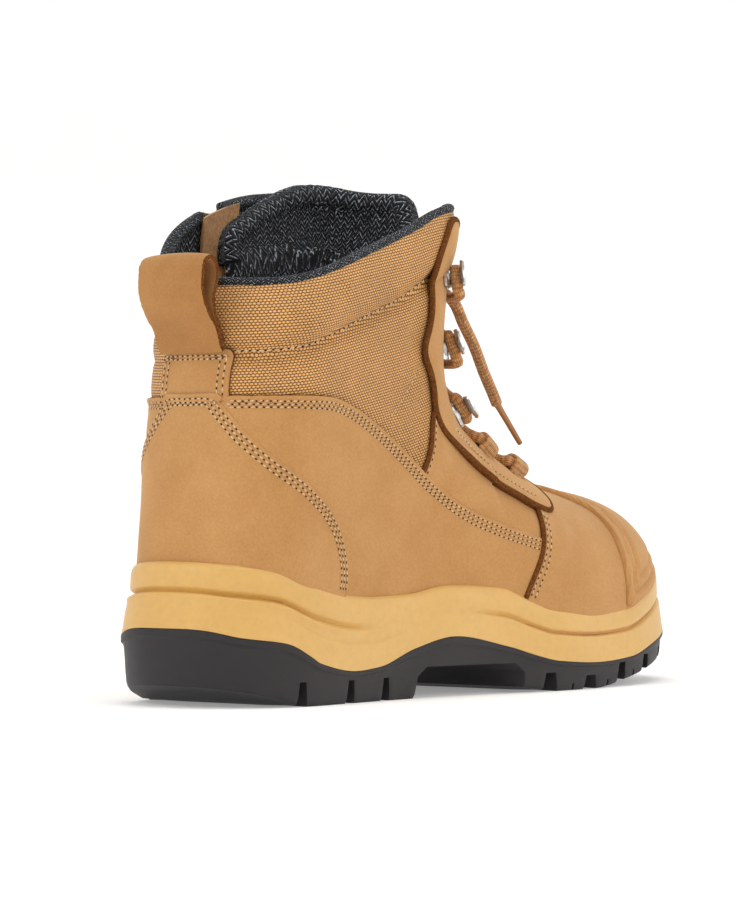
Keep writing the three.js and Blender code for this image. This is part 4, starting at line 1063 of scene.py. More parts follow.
# %% Metal
def metal(name, code, roughness):
    material, tree, shader = start_material(name, Metallic=1.0, Roughness=roughness)
    place = object_place(tree)
    rubbed = noise(tree, place, 2.2, 4, 0.6)
    tree.links.new(ramp(tree, rubbed, [(0.3, "A8AAAC"), (0.6, code)]), shader.inputs["Base Color"])
    gloss = add_node(tree, "ShaderNodeMapRange", {"Value": rubbed, 3: roughness - 0.08, 4: roughness + 0.14})
    tree.links.new(gloss.outputs["Result"], shader.inputs["Roughness"])
    bump(tree, shader, noise(tree, place, 0.6, 2, 0.5), 0.03, 0.4)
    return material


nickel = metal("nickel_plated_steel", "E4E6E8", 0.3)
zip_metal = metal("zinc_zip_metal", "C4C2BC", 0.32)


# %% [markdown]
# The lace is a round braid: yarns cross it in two directions and leave small diamonds. The pattern
# uses the cord's own map, its length one way and once round it the other way.

# %% Braided lace and ribbed webbing
def braid(name, codes, pitch, turns, roughness=0.72):
    material, tree, shader = start_material(name, Roughness=roughness, IOR=1.53, Sheen_Weight=0.2)
    across, up = surface_place(tree)
    calc = partial(math_node, tree)
    along = calc("MULTIPLY", across, math.pi / pitch)
    round_it = calc("MULTIPLY", up, math.pi * turns)
    one = calc("SINE", calc("ADD", along, round_it))
    other = calc("SINE", calc("SUBTRACT", along, round_it))
    height = calc("MULTIPLY", one, other)
    uneven = noise(tree, object_place(tree), 2.0, 3, 0.6)
    level = calc("ADD", calc("MULTIPLY", height, 0.22), uneven)
    tone = ramp(tree, level, [(0.25, codes[0]), (0.5, codes[1]), (0.8, codes[2])])
    tree.links.new(tone, shader.inputs["Base Color"])
    bump(tree, shader, height, 0.35, 0.8)
    return material


lace_braid = braid("lace_round_braid", ("96602C", "C08243", "E0AA6C"), 1.5, 8)
webbing = braid("webbing_rib", ("9C6A34", "C48C4E", "D8A668"), 0.9, 0.5, 0.8)
aglet_plastic = moulded("aglet_acetate", "9C6536", "8A5628", "B07C4A", 0.35, 1.5, 0.03, 1.47)
print("materials:", len(bpy.data.materials))

# %% [markdown]
# The fields. Each is positive inside its panel. The leather outlines are in millimetres of the side
# view; the tongue's are shares of the boot's sizes. The counter's outline is unrolled round the heel,
# so that its seams keep their distance from its edge there.

# %% Outlines of the panels
FACING_EDGE = [
    (134, 260), (132, 182), (128, 168), (125, 150), (123, 134), (121, 120), (117, 112), (114.9, 107),
    (113.4, 96),
    (110.6, 87.7), (103, 70), (100, -60), (460, -60), (460, 260),
]
LOWER_QUARTER = [
    (-60, 114.5), (10, 114.5), (44, 115), (55, 114.2), (65, 111.5), (75, 107.5), (90, 100), (104, 91.5),
    (116, 83.5),
    (132, 74), (150, 67), (172, 61), (200, 54), (200, -60), (-60, -60),
]
VAMP_EDGE = [
    (190, 130), (182, 85), (178.5, 75), (176.5, 68.9), (174.2, 59.7), (170, 49.9), (162.3, 36.8), (155, 20),
    (155, -60), (460, -60), (460, 130),
]
COUNTER_EDGE = [
    (-40, 115.5), (19, 115.5), (20.5, 108), (22.5, 100.5), (29.2, 91), (42.7, 81), (56.6, 69.5), (63, 57),
    (64.5, 46), (62.5, 38), (60, 20), (-40, 20),
]
bumper_line = curve((0, 16, 24, 30, 36, 44, 52), (225, 226.5, 229, 232.5, 234, 232.5, 230))
EYESTAY_EDGE = [
    (152, 180), (142, 184.5), (135, 186.3), (130, 186.3), (126, 184), (122.6, 179), (119.7, 172),
    (116.6, 160.2),
    (113.3, 143.9), (111, 132.5), (113.6, 126), (115.3, 119), (115.6, 112), (118.6, 107), (128, 97.8),
    (144.9, 86.6), (156.7, 79.8), (167.6, 75.3), (173, 72.8), (180, 70.6), (188.5, 69.8), (193, 73),
    (197, 84),
    (215, 130), (230, 187),
]
TONGUE_EDGE = [
    (0.246, 0.9), (0.29, 0.945), (0.33, 0.975), (0.375, 1.005), (0.41, 1.012), (0.44, 1.01), (0.47, 1.0),
    (0.5, 0.99), (0.72, 0.99), (0.72, 0.33), (0.68, 0.34), (0.57, 0.39), (0.49, 0.44), (0.41, 0.5),
    (0.34, 0.57),
    (0.246, 0.64),
]
TONGUE_SIDES = [
    (-0.08, 1.1), (-0.1, 0.985), (-0.2, 0.93), (-0.38, 0.86), (-0.62, 0.78), (-0.68, 0.6), (-0.6, 0.3),
    (0.6, 0.3),
    (0.68, 0.54), (2, 0.58), (2, 1.1),
]

# %% Fields of the panels
field_facing = np.minimum(inside_outline(smooth_outline(FACING_EDGE), X, Z), 180 - Z)
field_lower = inside_outline(smooth_outline(LOWER_QUARTER), X, Z)
field_vamp = inside_outline(smooth_outline(VAMP_EDGE), X, Z)
counter_around = []
for x, z in smooth_outline(COUNTER_EDGE):
    counter_around.append((float(cloth_u(max(x, 8.0), z)) + min(x, 0), z))
field_counter = inside_outline(counter_around, cloth_u(X, Z), Z)
field_bumper = X - bumper_line(np.abs(Y - middle(X)))
field_eyestay = inside_outline(smooth_outline(EYESTAY_EDGE), X, Z)
field_collar = collar_over(X, Y) - Z
above_lip = Z - side_height("lip", X)
above_bed = Z - side_height("bed", X) - 1
spread = 1 + 0.3 * ease((T - 0.55) / 0.35)
throat_start = 0.375
throat_half = THROAT_WIDTH / 2 * rounded(T - throat_start + 0.004, 0.06, 2) * spread
short = np.clip(throat_start - 0.004 - T, 0, None) * 300
field_throat = np.maximum(np.abs(Y - middle(X)) - throat_half + short, FRONT - 30)
field_zip = np.maximum.reduce([np.abs(X - ZIP_X) - 6, 66 - Z, -Y])
open_edges = np.minimum(field_throat, field_zip)
print("fields ready")


def least(*fields):
    return np.minimum.reduce(fields)


# %% [markdown]
# The nylon shaft is padded: it swells between the collar, the quilted seam and the leather. It is
# one wall, nylon outside and knit inside, so the boot is truly hollow. The leather of the quarter
# and the vamp lie further out and carry the same knit inside.

# %% Nylon shaft
def quilt_line(x, y, z):
    """Height over the quilting seam, which follows the collar."""
    return z - collar_over(x, y) + COLLAR_BAND


def panel_seam(x, z):
    """Distance from the slanting seam low on the outer side."""
    return ((x - 86) - (z - 104)) * 0.707


def quilted(x, y, z, d):
    """The nylon is pulled in along its seams and puffs out between them."""
    seam = quilt_line(x, y, z)
    second = panel_seam(x, z)
    pull = 1.3 * np.exp(-((seam / 3.6) ** 2))
    pull += 0.6 * np.exp(-((second / 3) ** 2)) * (z < 125) * (y < 0)
    puff = 0.8 * np.sin(np.pi * np.clip(seam / COLLAR_BAND, 0, 1))
    return puff - pull


nylon_shaft = panel(
    "nylon_shaft",
    least(field_collar, open_edges, 4 - field_facing, 4 - field_lower, above_bed),
    quilted,
    lambda x, y, z, d: 0 * x - WALL,
    [nylon, edge_fibres_and_shade, lining],
)
finish_piece(nylon_shaft, "nylon_weave", "upper")

# %% Leather: a facing up the throat, the lower quarter over it, the vamp and the heel counter
LEATHER = 1.2
QUARTER_STEP = 0.9
VAMP_STEP = 1.6
COUNTER_TOP = 3.1


def leather_sheet(name, field, top, radius, under, inside, node="upper"):
    """A panel of even thickness whose edge is rounded; inside is the material of its inner face."""
    sheet = panel(
        name,
        field,
        lambda x, y, z, d: top - edge_drop(d, radius),
        lambda x, y, z, d: 0 * x + under,
        [leather, edge_fibres_and_shade, inside],
    )
    finish_piece(sheet, "nubuck", node)


facing_field = least(field_facing, open_edges, field_collar, above_bed, 6 - field_vamp)
leather_sheet("facing_leather", facing_field, LEATHER, 0.5, 0.1 - WALL, lining)
quarter_field = least(field_lower, open_edges, above_bed, 4 - field_vamp)
leather_sheet("lower_quarter_leather", quarter_field, LEATHER + QUARTER_STEP, 0.6, 0.1 - WALL, lining)
vamp_field = least(field_vamp, field_throat, above_bed)
leather_sheet("vamp_leather", vamp_field, LEATHER + VAMP_STEP, 0.6, 0.1 - WALL, lining)
counter_field = least(field_counter, above_lip + 4)
leather_sheet("counter_leather", counter_field, COUNTER_TOP, 0.9, 1.0, edge_fibres_and_shade, "heel_counter")

# %% [markdown]
# The toe bumper is a moulded scuff cap. Two soft grooves run along its rear edge.

# %% Toe bumper
BUMPER_TOP = 4.9


def bumper_height(x, y, z, d):
    grooves = 1.1 * np.exp(-(((d - 5) / 1.0) ** 2)) + 1.0 * np.exp(-(((d - 9.5) / 1.1) ** 2))
    return BUMPER_TOP - 0.8 * edge_drop(d, 1.6) - grooves


bumper = panel(
    "toe_bumper_cap",
    least(field_bumper, above_lip + 0.6),
    bumper_height,
    lambda x, y, z, d: 0 * x + 2.0,
    [leather, leather, edge_fibres_and_shade],
)
finish_piece(bumper, "nubuck", "toe_bumper")

# %% [markdown]
# The eyestays are folded strips along the throat. Their rear edge is raw, rolled and a little wavy,
# as hand-cut leather is.

# %% Eyestays
def eyestay_top(z):
    """How far the eyestay stands off the last: it climbs over the vamp at its lower end."""
    return 2.5 + 1.5 * ease((104 - z) / 14)


wave = 0.8 * np.sin(Z * 0.2) * ease((Z - 95) / 10)


def eyestay(hand):
    one_side = -Y if hand == "lateral" else Y
    return panel(
        "eyestay_leather_" + hand,
        least(field_eyestay + wave, field_throat - 1, one_side),
        lambda x, y, z, d: eyestay_top(z) - edge_drop(d, 1.1),
        lambda x, y, z, d: 0 * x + 0.6,
        [leather, edge_fibres_and_shade, edge_fibres_and_shade],
    )


for hand in ("lateral", "medial"):
    finish_piece(eyestay(hand), "nubuck", "eyestay_" + hand)

# %% Back strip
STRIP_HALF = 16
LOOP_BASE = 0.662 * BOOT_HEIGHT
field_strip = least(STRIP_HALF - np.abs(Y), Z - 0.565 * BOOT_HEIGHT, LOOP_BASE + 1 - Z, 60 - X)
leather_sheet("back_strip_leather", field_strip, 1.9, 0.8, 0.0, edge_fibres_and_shade, "back_strip")

# %% [markdown]
# The tongue is padded: it is thick in the middle and its edges roll over, so its two faces meet in
# a round edge.

# %% Tongue
TONGUE_THICKNESS = 6.0
tongue_sides = smooth_outline(TONGUE_SIDES, (THROAT_WIDTH, BOOT_HEIGHT))
tongue_middle = -(WALL + 0.6 + TONGUE_THICKNESS / 2)
tongue_place = P + N * tongue_middle
field_tongue = least(
    inside_outline(
        smooth_outline(TONGUE_EDGE, (SOLE_LENGTH, BOOT_HEIGHT)), tongue_place[:, 0], tongue_place[:, 2]
    ),
    inside_outline(tongue_sides, tongue_place[:, 1], tongue_place[:, 2]),
)


def tongue_half(d):
    return TONGUE_THICKNESS / 2 * rounded(d + 0.05, 5.0, 2.0)


tongue = panel(
    "tongue_padded",
    field_tongue,
    lambda x, y, z, d: tongue_middle + tongue_half(d),
    lambda x, y, z, d: tongue_middle - tongue_half(d),
    [nylon, lining, lining],
    uv=np.column_stack([front_distance(), Z]),
)
finish_piece(tongue, "knit_lining", "tongue")


# %% [markdown]
# Bindings: a strip of knit is folded over the collar's edge and over the top of the tongue. The raw
# edges of the eyestays, the facings and the vamp roll up into rough dark beads, their dark partly
# painted shade.

# %% Bindings and rolled edges
def edge_tubes(lines, stands, width, height, pitch=2.0, passes=3, sides=14):
    """Tubes along lines of the grid; stands(z) is how far their middle is off the last."""
    shapes = []
    for point, normal in lines:
        point, normal = even(point, normal, pitch)
        if len(point) < 4:
            continue
        for _ in range(passes):
            point[1:-1] = (point[:-2] + 2 * point[1:-1] + point[2:]) / 4
        shapes.append(tube(point + normal * stands(point[:, 2:3]), width, height, sides, normal))
    return shapes


def edge_piece(name, shapes, material, turns, slot, *nodes):
    points, faces, uv = join_shapes(shapes)
    piece = add_mesh(name, points, faces, [material], None, uv * (1, turns))
    finish_piece(piece, slot, *nodes)


collar_lines = follow(field_collar, 0.8, open_edges + 0.5)
collar_tubes = edge_tubes(collar_lines, lambda z: -1.5, 4.2, 5.2)
edge_piece("collar_binding", collar_tubes, binding_knit, 16, "knit_lining", "upper")
EDGE_BEADS = [
    # line, its place off the last, width, height
    (
        follow(field_eyestay + wave, 0.5, least(field_throat - 1.5, 205 - X)),
        lambda z: eyestay_top(z) - 0.9,
        2.6,
        2.4,
    ),
    (
        follow(field_facing, 0.4, least(-field_eyestay + 1, -field_lower + 2, 118 - Z)),
        lambda z: LEATHER - 0.4,
        2.2,
        1.8,
    ),
    (follow(field_vamp, 0.4, least(above_lip, 186 - X, -field_eyestay + 1)), lambda z: 2.2, 2.4, 2.0),
]
beads = []
for lines, stands, width, height in EDGE_BEADS:
    beads += edge_tubes(lines, stands, width, height, 1.5, 2, 10)
edge_piece("leather_rolled_edges", beads, edge_fibres_and_shade, 1, "nubuck")
tongue_tubes = edge_tubes(follow(field_tongue, 2.6, Z - 165), lambda z: tongue_middle, 9.0, 9.6)
edge_piece("tongue_rolled_edge", tongue_tubes, lining, 24, "knit_lining", "tongue")

# %% [markdown]
# Stitches. Thread goes down through a needle hole, so each seam is a row of short cream stitches
# with a flat dark disc of painted shade for each hole between them. The counter and the quarter
# have three rows, the vamp two.

# %% Seams of the leather
counter_keep = least(above_lip - 1.5, field_counter)
quarter_keep = least(-field_counter - 1.0, above_lip - 2, -field_vamp - 1, open_edges - 1, X - 19)
vamp_keep = least(above_lip - 1.5, 186 - X, -field_eyestay - 0.5, field_throat)
strip_keep = least(60 - X, field_strip - 0.5)
eyestay_keep = least(field_throat - 3, field_collar - 4, -field_vamp + 1, X - 100, 104 - Z)
facing_keep = least(-field_eyestay - 1, -field_lower - 0.5, 125 - Z)
SEAMS = [
    # field, rows inside its edge, where it is kept, height off the last
    (field_counter, (1.7, 3.3, 4.9), counter_keep, COUNTER_TOP + 0.15),
    (field_lower, (1.7, 3.3, 4.9), quarter_keep, LEATHER + QUARTER_STEP + 0.15),
    (field_vamp, (2.0, 4.2), vamp_keep, LEATHER + VAMP_STEP + 0.15),
    (STRIP_HALF - np.abs(Y), (2.0, 4.2), strip_keep, 2.05),
    (field_eyestay + wave, (4.2,), eyestay_keep, 4.1),
    (field_facing, (2.0,), facing_keep, LEATHER + 0.15),
]
seams = Seams()
for field, levels, keep, height in SEAMS:
    for level in levels:
        seams.row(follow(field, level, keep), height)
print("faces of stitches in leather:", len(seams.faces))

# %% Seams of the nylon and of the pull loop
quilt_keep = least(-least(STRIP_HALF - np.abs(Y), 60 - X), -field_eyestay - 1, -field_facing, open_edges - 1)
quilt_rows = follow(quilt_line(X, Y, Z), 0.0, quilt_keep)
seams.row(quilt_rows, -0.95, pitch=3.0, length=1.9, width=0.7)
loop_keep = least(field_strip - 0.5, STRIP_HALF - np.abs(Y) - 0.8)
for level in (2.0, 4.2):
    seams.row(follow(LOOP_BASE + 1 - Z, level, loop_keep), 2.05)
panel_keep = least(X - 86, 113 - X, -field_lower - 1, -field_facing - 1, -Y)
panel_rows = follow(panel_seam(X, Z), 0.0, panel_keep)
seams.row(panel_rows, -0.4, pitch=2.6, length=1.5, width=0.45, holes=False)
stitching = seams.piece("stitching", [thread, needle_hole_shade])
finish_piece(stitching, "nubuck")

# %% [markdown]
# The midsole is one moulded unit. Its side is a stack of outlines from the rubber up to the lip:
# it steps in at two grooves that are deep at the heel and toe, and swells between them at the waist.

# %% Midsole
def sole_ring(count, inset, height):
    """One outline of the sole, moved in by inset(x), at height(x)."""
    angle = 2 * math.pi * np.arange(count) / count
    back = float(inset(np.array(0.0)))
    front = SOLE_LENGTH - float(inset(np.array(SOLE_LENGTH)))
    x = mix(back, front, (1 - np.cos(angle)) / 2)
    lateral = np.sin(angle) > 0
    half = np.where(lateral, plan_width(x, "lateral"), plan_width(x, "medial")) - inset(x)
    heel = rounded(x - inset(x), 1.0 * HEEL_ROUND)
    toe_reach = np.where(lateral, TOE_ROUND["lateral"], TOE_ROUND["medial"])
    toe = rounded(SOLE_LENGTH - inset(x) - x, toe_reach - inset(x))
    y = half * heel * toe * np.where(lateral, -1, 1)
    return np.column_stack([x, y, height(x)])


def stack(rings, closed=True):
    """Points and faces of a skin over rings of equal count, closed at both ends if asked."""
    count = len(rings[0])
    points = np.concatenate(rings)
    faces = []
    for i in range(len(rings) - 1):
        for j in range(count):
            k = (j + 1) % count
            faces.append((i * count + j, (i + 1) * count + j, (i + 1) * count + k, i * count + k))
    if closed:
        low = rings[0].mean(axis=0)
        high = rings[-1].mean(axis=0)
        low_index = len(points)
        points = np.concatenate([points, [low, high]])
        last = (len(rings) - 1) * count
        for j in range(count):
            k = (j + 1) % count
            faces.append((k, low_index, j))
            faces.append((last + j, low_index + 1, last + k))
    return points, faces


FOAM_AT = (0.0, 0.1, 0.26, 0.48, 0.66, 0.84, 0.92, 0.97, 1.0)
foam_inset = curve(FOAM_AT, (0.02, 0.1, 0.2, 0.33, 0.36, 0.4, 0.48, 0.6, 0.8))
groove_share = curve(
    (0, 0.08, 0.2, 0.28, 0.38, 0.45, 0.5, 0.6, 0.85, 1), (1, 1, 0.9, 0.1, 0.0, 0.35, 0.8, 0.9, 0.8, 0.8)
)
second_share = curve((0, 0.05, 0.14, 0.26, 0.34, 0.4, 1), (0, 0.2, 0.9, 0.9, 0.1, 0, 0))
swell_share = curve((0, 0.34, 0.44, 0.52, 0.6, 1), (0, 0, 1, 0.8, 0, 0))


def foam_side(share, x):
    """How far the foam's side stands in from the outline, in millimetres."""
    at = x / SOLE_LENGTH
    groove_at = np.where(at < 0.4, 0.58, 0.53)
    groove = 2.6 * groove_share(at) * np.exp(-(((share - groove_at) / 0.035) ** 2))
    step = 0.9 * groove_share(at) * ease((share - groove_at) / 0.05)
    second = second_share(at) * (0.8 * ease((share - 0.34) / 0.04) - 0.5 * ease((share - 0.4) / 0.12))
    swell = 1.4 * swell_share(at) * np.exp(-(((share - 0.72) / 0.2) ** 2))
    return foam_inset(share) * LIP_WIDTH * 0.75 + groove + step + second - swell


def make_midsole():
    rings = []
    for share in np.concatenate([np.linspace(0, 0.92, 52), np.linspace(0.93, 1, 8)]):
        rings.append(
            sole_ring(
                340,
                lambda x, s=share: foam_side(s, x),
                lambda x, s=share: mix(side_height("rubber", x), side_height("lip", x), s),
            )
        )
    rings.append(sole_ring(340, lambda x: 0 * x + 9, lambda x: side_height("lip", x) - 1.5))
    rings.append(sole_ring(340, lambda x: 0 * x + 10, lambda x: side_height("bed", x) - 0.5))
    return stack(rings)


points, faces = make_midsole()
midsole = add_mesh("midsole_foam", points, faces, [foam], angle=50)
finish_piece(midsole, "midsole_foam", "midsole")

# %% [markdown]
# The outsole is one rubber moulding. A stack of outlines gives its side, and Boolean cutters then
# take out the arch recess and the gaps between the lugs.

# %% Outsole blank
ARCH_CLEARANCE = 12.0
HEEL_LENGTH = 100.0
FOREFOOT_START = 160.0
LUG_DEPTH = 8.0
LUG_GAP = 5.0
rubber_inset = curve((0, 0.05, 0.14, 0.78, 0.84, 0.88, 1.0), (0.38, 0.29, 0.24, 0.13, 0.1, 0.0, 0.0))


def make_outsole():
    rings = []
    low = [0, 0.03, 0.06, 0.1, 0.16]
    for share in np.concatenate([low, np.linspace(0.25, 0.78, 7), [0.81, 0.84, 0.86, 0.88, 0.94, 1]]):
        rings.append(
            sole_ring(
                260,
                lambda x, s=share: 0 * x + rubber_inset(s) * LIP_WIDTH,
                lambda x, s=share: mix(side_height("tread", x), side_height("rubber", x) - 0.2, s),
            )
        )
    points, faces = stack(rings, closed=False)
    count = len(rings[0])
    last = (len(rings) - 1) * count
    for j in range(1, count // 2):
        a, b, c, d = j, j + 1, count - j - 1, count - j
        faces.append((a, b, c, d) if b != c else (a, b, d))
        top = (last + a, last + d, last + c, last + b)
        faces.append(top if b != c else (last + a, last + d, last + b))
    faces.append((0, 1, count - 1))
    faces.append((last, last + count - 1, last + 1))
    return points, faces


points, faces = make_outsole()
outsole = add_mesh("outsole_rubber", points, faces, [rubber])


# %% Cutters for the arch and the lug gaps
def put_right(piece):
    """Turns every face of a closed piece outwards."""
    shape = bmesh.new()
    shape.from_mesh(piece.data)
    bmesh.ops.recalc_face_normals(shape, faces=shape.faces)
    shape.to_mesh(piece.data)
    shape.free()


def prism_gap(half, outline, low, high):
    """A block over a plan outline of four corners, half as wide at its top as at the tread."""
    points = [(px, py, low) for px, py in outline]
    for number, (px, py) in enumerate(outline):
        inward = half * 0.45 * (1 if number in (0, 3) else -1)
        points.append((px + inward, py, high))
    faces = [(3, 2, 1, 0), (4, 5, 6, 7)] + [(i, (i + 1) % 4, 4 + (i + 1) % 4, 4 + i) for i in range(4)]
    return points, faces


LUG_GAPS = [
    # at, width, high, reach, lean
    (0.111, 1.2, 1.1, 0.4, 1), (0.203, 1.2, 1.1, 0.4, 1), (0.275, 1.2, 1.1, 0.4, 1),
    (0.567, 2.1, 0.9, 0.3, 2), (0.613, 0.4, 0.35, 0.75, 0.5), (0.652, 2.3, 0.7, 0.4, 2),
    (0.695, 0.4, 0.35, 0.75, 0.5), (0.73, 1.7, 1.0, 0.3, 2), (0.764, 0.4, 0.35, 0.75, 0.5),
    (0.802, 1.7, 0.85, 0.3, 2), (0.87, 1.5, 0.7, 0.4, 2), (0.93, 1.0, 0.6, 0.5, 2),
]


def lug_cutters():
    shapes = []
    for at, width, high, reach, lean in LUG_GAPS:
        x = at * SOLE_LENGTH
        half = width * LUG_GAP / 2
        top = float(side_height("tread", np.array(x))) + high * LUG_DEPTH
        for hand, sign in (("lateral", -1), ("medial", 1)):
            edge = float(plan_width(np.array(x), hand))
            inner = reach * edge
            slope = lean * LUG_GAP / (edge - inner)
            outer = edge + 12
            back = (edge - outer) * slope
            outline = [
                (x - half + back, sign * outer),
                (x + half + back, sign * outer),
                (x + half + lean * LUG_GAP, sign * inner),
                (x - half + lean * LUG_GAP, sign * inner),
            ]
            points, faces = prism_gap(half, outline, -LUG_DEPTH / 2, top)
            area = sum(a[0] * b[1] - b[0] * a[1] for a, b in zip(outline, outline[1:] + outline[:1]))
            if area < 0:
                faces = [tuple(reversed(f)) for f in faces]
            shapes.append((np.array(points, float), faces, np.zeros((len(points), 2))))
    return join_shapes(shapes)


def cut_with(piece, points, faces, material):
    """Takes a closed cutter out of a piece with an exact Boolean, and deletes the cutter."""
    cutter = add_mesh("cutter", points, faces, [material], smooth=False)
    put_right(cutter)
    tool = piece.modifiers.new("cut", "BOOLEAN")
    tool.operation = "DIFFERENCE"
    tool.solver = "EXACT"
    tool.object = cutter
    bpy.context.view_layer.objects.active = piece
    piece.select_set(True)
    bpy.ops.object.modifier_apply(modifier=tool.name)
    piece.select_set(False)
    bpy.data.objects.remove(cutter, do_unlink=True)


points, faces, _ = lug_cutters()
cut_with(outsole, points, faces, rubber)
arch = [
    (HEEL_LENGTH, -LUG_DEPTH),
    (HEEL_LENGTH + 3, 0.7 * ARCH_CLEARANCE),
    (HEEL_LENGTH + 8, ARCH_CLEARANCE),
    (FOREFOOT_START - 6, ARCH_CLEARANCE),
    (FOREFOOT_START - 1, 0.7 * ARCH_CLEARANCE),
    (FOREFOOT_START, -LUG_DEPTH),
]
count = len(arch)
points = [(x, -90, z) for x, z in arch] + [(x, 90, z) for x, z in arch]
faces = [tuple(range(count)), tuple(reversed(range(count, 2 * count)))]
faces += [((i + 1) % count, i, count + i, count + (i + 1) % count) for i in range(count)]
cut_with(outsole, points, faces, rubber)
print("outsole faces:", len(outsole.data.polygons))


# %% Soften the lugs' edges
def soften(piece, width, angle=35, segments=2):
    tool = piece.modifiers.new("soften", "BEVEL")
    tool.width = width / 1000
    tool.segments = segments
    tool.limit_method = "ANGLE"
    tool.angle_limit = math.radians(angle)
    bpy.context.view_layer.objects.active = piece
    bpy.ops.object.modifier_apply(modifier=tool.name)
    piece.data.polygons.foreach_set("use_smooth", [True] * len(piece.data.polygons))
    piece.data.set_sharp_from_angle(angle=math.radians(40))


soften(outsole, 0.5)
finish_piece(outsole, "outsole_rubber", "outsole")

# %% [markdown]
# Hooks, webbing loops and lace stand on the eyestays. One function finds a place over the front of
# the last from its height up the throat, its distance from the middle and its height off the
# surface, with the direction outwards and the direction up the throat.

# %% A place over the front
def over_front(t, y, out):
    low, high, _ = slice_line(t)
    length = float(np.linalg.norm(high - low))
    crown = float(slices["crown"](t)) * BALL_WIDTH
    hand = "lateral" if y < 0 else "medial"

    def width_at(share):
        x, z = mix(low[0], high[0], share), mix(low[1], high[1], share)
        front = rounded((1 - share) * length, crown)
        return float(last_width(np.array(x), np.array(z), hand) * front)

    start, end = 1 - crown / length, 1.0
    for _ in range(26):
        half = (start + end) / 2
        if width_at(half) > abs(y):
            start = half
        else:
            end = half
    along = (high - low) / length
    step = 0.004
    slope = (width_at(start - step) - width_at(start)) / (step * length)
    sign = -1 if y < 0 else 1
    normal = np.array([along[0] * slope, sign, along[1] * slope])
    if abs(y) < 0.5:
        normal = np.array([along[0], 0, along[1]])
    normal = normal / np.linalg.norm(normal)
    place = mix(low, high, start)
    point = np.array([place[0], float(middle(place[0])) + y, place[1]])
    ahead = slice_line(t + 0.01)[1] - slice_line(t - 0.01)[1]
    upward = np.array([ahead[0], 0, ahead[1]]) / np.linalg.norm(ahead)
    return point + normal * out, normal, upward


HOOK_LEVELS = [0.59, 0.72, 0.85]
WEBBING_LEVELS = [0.43, 0.505]
WEBBING_SINK = 1.2


def holder_y(t):
    spread_at = 1 + 0.3 * float(ease((t - 0.55) / 0.35))
    return THROAT_WIDTH / 2 * spread_at + 0.5 * EYESTAY_WIDTH


def holder_axes(t, hand):
    """The place of a holder, its way up the throat, its way towards the throat, and outwards."""
    sign = -1 if hand == "lateral" else 1
    base = over_front(t, sign * holder_y(t), 0)[0].reshape(3, 1)
    stands = float(eyestay_top(base[2])[0] + relief(base[0], base[2], base[1])[0]) + 0.1
    if t < HOOK_LEVELS[0]:
        stands -= WEBBING_SINK
    point, normal, upward = over_front(t, sign * holder_y(t), stands)
    across = np.cross(normal, upward)
    across = across / np.linalg.norm(across)
    up = np.cross(across, normal)
    to_throat = across * sign
    return point, up, to_throat, normal


# %% A bent strip: a plate that follows a profile, with its width at each place
def bent_strip(profile, halves, thickness, axes, crown=0.0):
    """profile is (towards the throat, outwards) rows; axes is the holder's place and directions."""
    origin, up, to_throat, out = axes
    profile = np.array(profile, float)
    ahead = np.gradient(profile, axis=0)
    ahead = ahead / np.linalg.norm(ahead, axis=1, keepdims=True)
    side_way = np.column_stack([-ahead[:, 1], ahead[:, 0]])
    across = np.linspace(-1, 1, 7)
    rings = []
    uv = []
    run = 0.0
    for i, (centre, n, half) in enumerate(zip(profile, side_way, halves)):
        run += 0 if i == 0 else float(np.linalg.norm(profile[i] - profile[i - 1]))
        ring = []
        for face in (1, -1):
            for k in across[:: int(face)]:
                edge = 1 - 0.35 * abs(k) ** 6
                bend = centre + n * (face * thickness / 2 * edge - crown * k * k)
                ring.append(origin + up * (k * half) + to_throat * bend[0] + out * bend[1])
                uv.append((k * half, run))
        rings.append(np.array(ring))
    count = len(rings[0])
    points = np.concatenate(rings)
    faces = []
    for i in range(len(rings) - 1):
        for j in range(count):
            k = (j + 1) % count
            faces.append((i * count + j, i * count + k, (i + 1) * count + k, (i + 1) * count + j))
    faces.append(tuple(reversed(range(count))))
    faces.append(tuple((len(rings) - 1) * count + j for j in range(count)))
    return points, faces, np.array(uv)


# %% [markdown]
# A lace hook is pressed from sheet: a plate riveted to the leather, a bend on the throat side, and a
# wider flange that keeps the lace in. Its sheet is narrow at the bend.

# %% Hooks
LACE_DIAMETER = 4.5
HOOK_STEEL = 1.2


def make_hook(t, hand):
    axes = holder_axes(t, hand)
    r = (LACE_DIAMETER + HOOK_STEEL) / 2
    rows = [(-6.0, 0.7, 3.6), (-5.4, 0.7, 4.8), (-3.6, 0.7, 5.2), (-1.0, 0.7, 4.6), (1.0, 0.6, 3.4)]
    centre = (1.25, 0.6 + r)
    for k in range(9):
        angle = -math.pi / 2 + math.pi * k / 8
        half = 2.6 + 0.3 * abs(k - 4) / 4
        rows.append((centre[0] + r * math.cos(angle), centre[1] + r * math.sin(angle), half))
    top = 0.6 + 2 * r
    rows += [(0.4, top, 3.6), (-0.8, top, 4.8), (-2.6, top + 0.2, 5.2)]
    rows += [(-4.2, top + 0.8, 5.0), (-5.2, top + 1.7, 3.6)]
    profile = [(a, h) for a, h, _ in rows]
    hook = bent_strip(profile, [w for _, _, w in rows], HOOK_STEEL, axes, 0.25)
    place = axes[0] + axes[2] * -2.6 + axes[3] * 1.15
    angle = np.linspace(0, 2 * math.pi, 16, endpoint=False)
    rings = []
    for radius, height in ((1.9, 0.0), (1.7, 0.35), (1.1, 0.65), (0.3, 0.75)):
        turned = np.outer(np.cos(angle), axes[1]) + np.outer(np.sin(angle), axes[2])
        rings.append(place + turned * radius + axes[3] * height)
    rivet_points, rivet_faces = stack(rings)
    rivet = (rivet_points, rivet_faces, np.zeros((len(rivet_points), 2)))
    return join_shapes([hook, rivet])


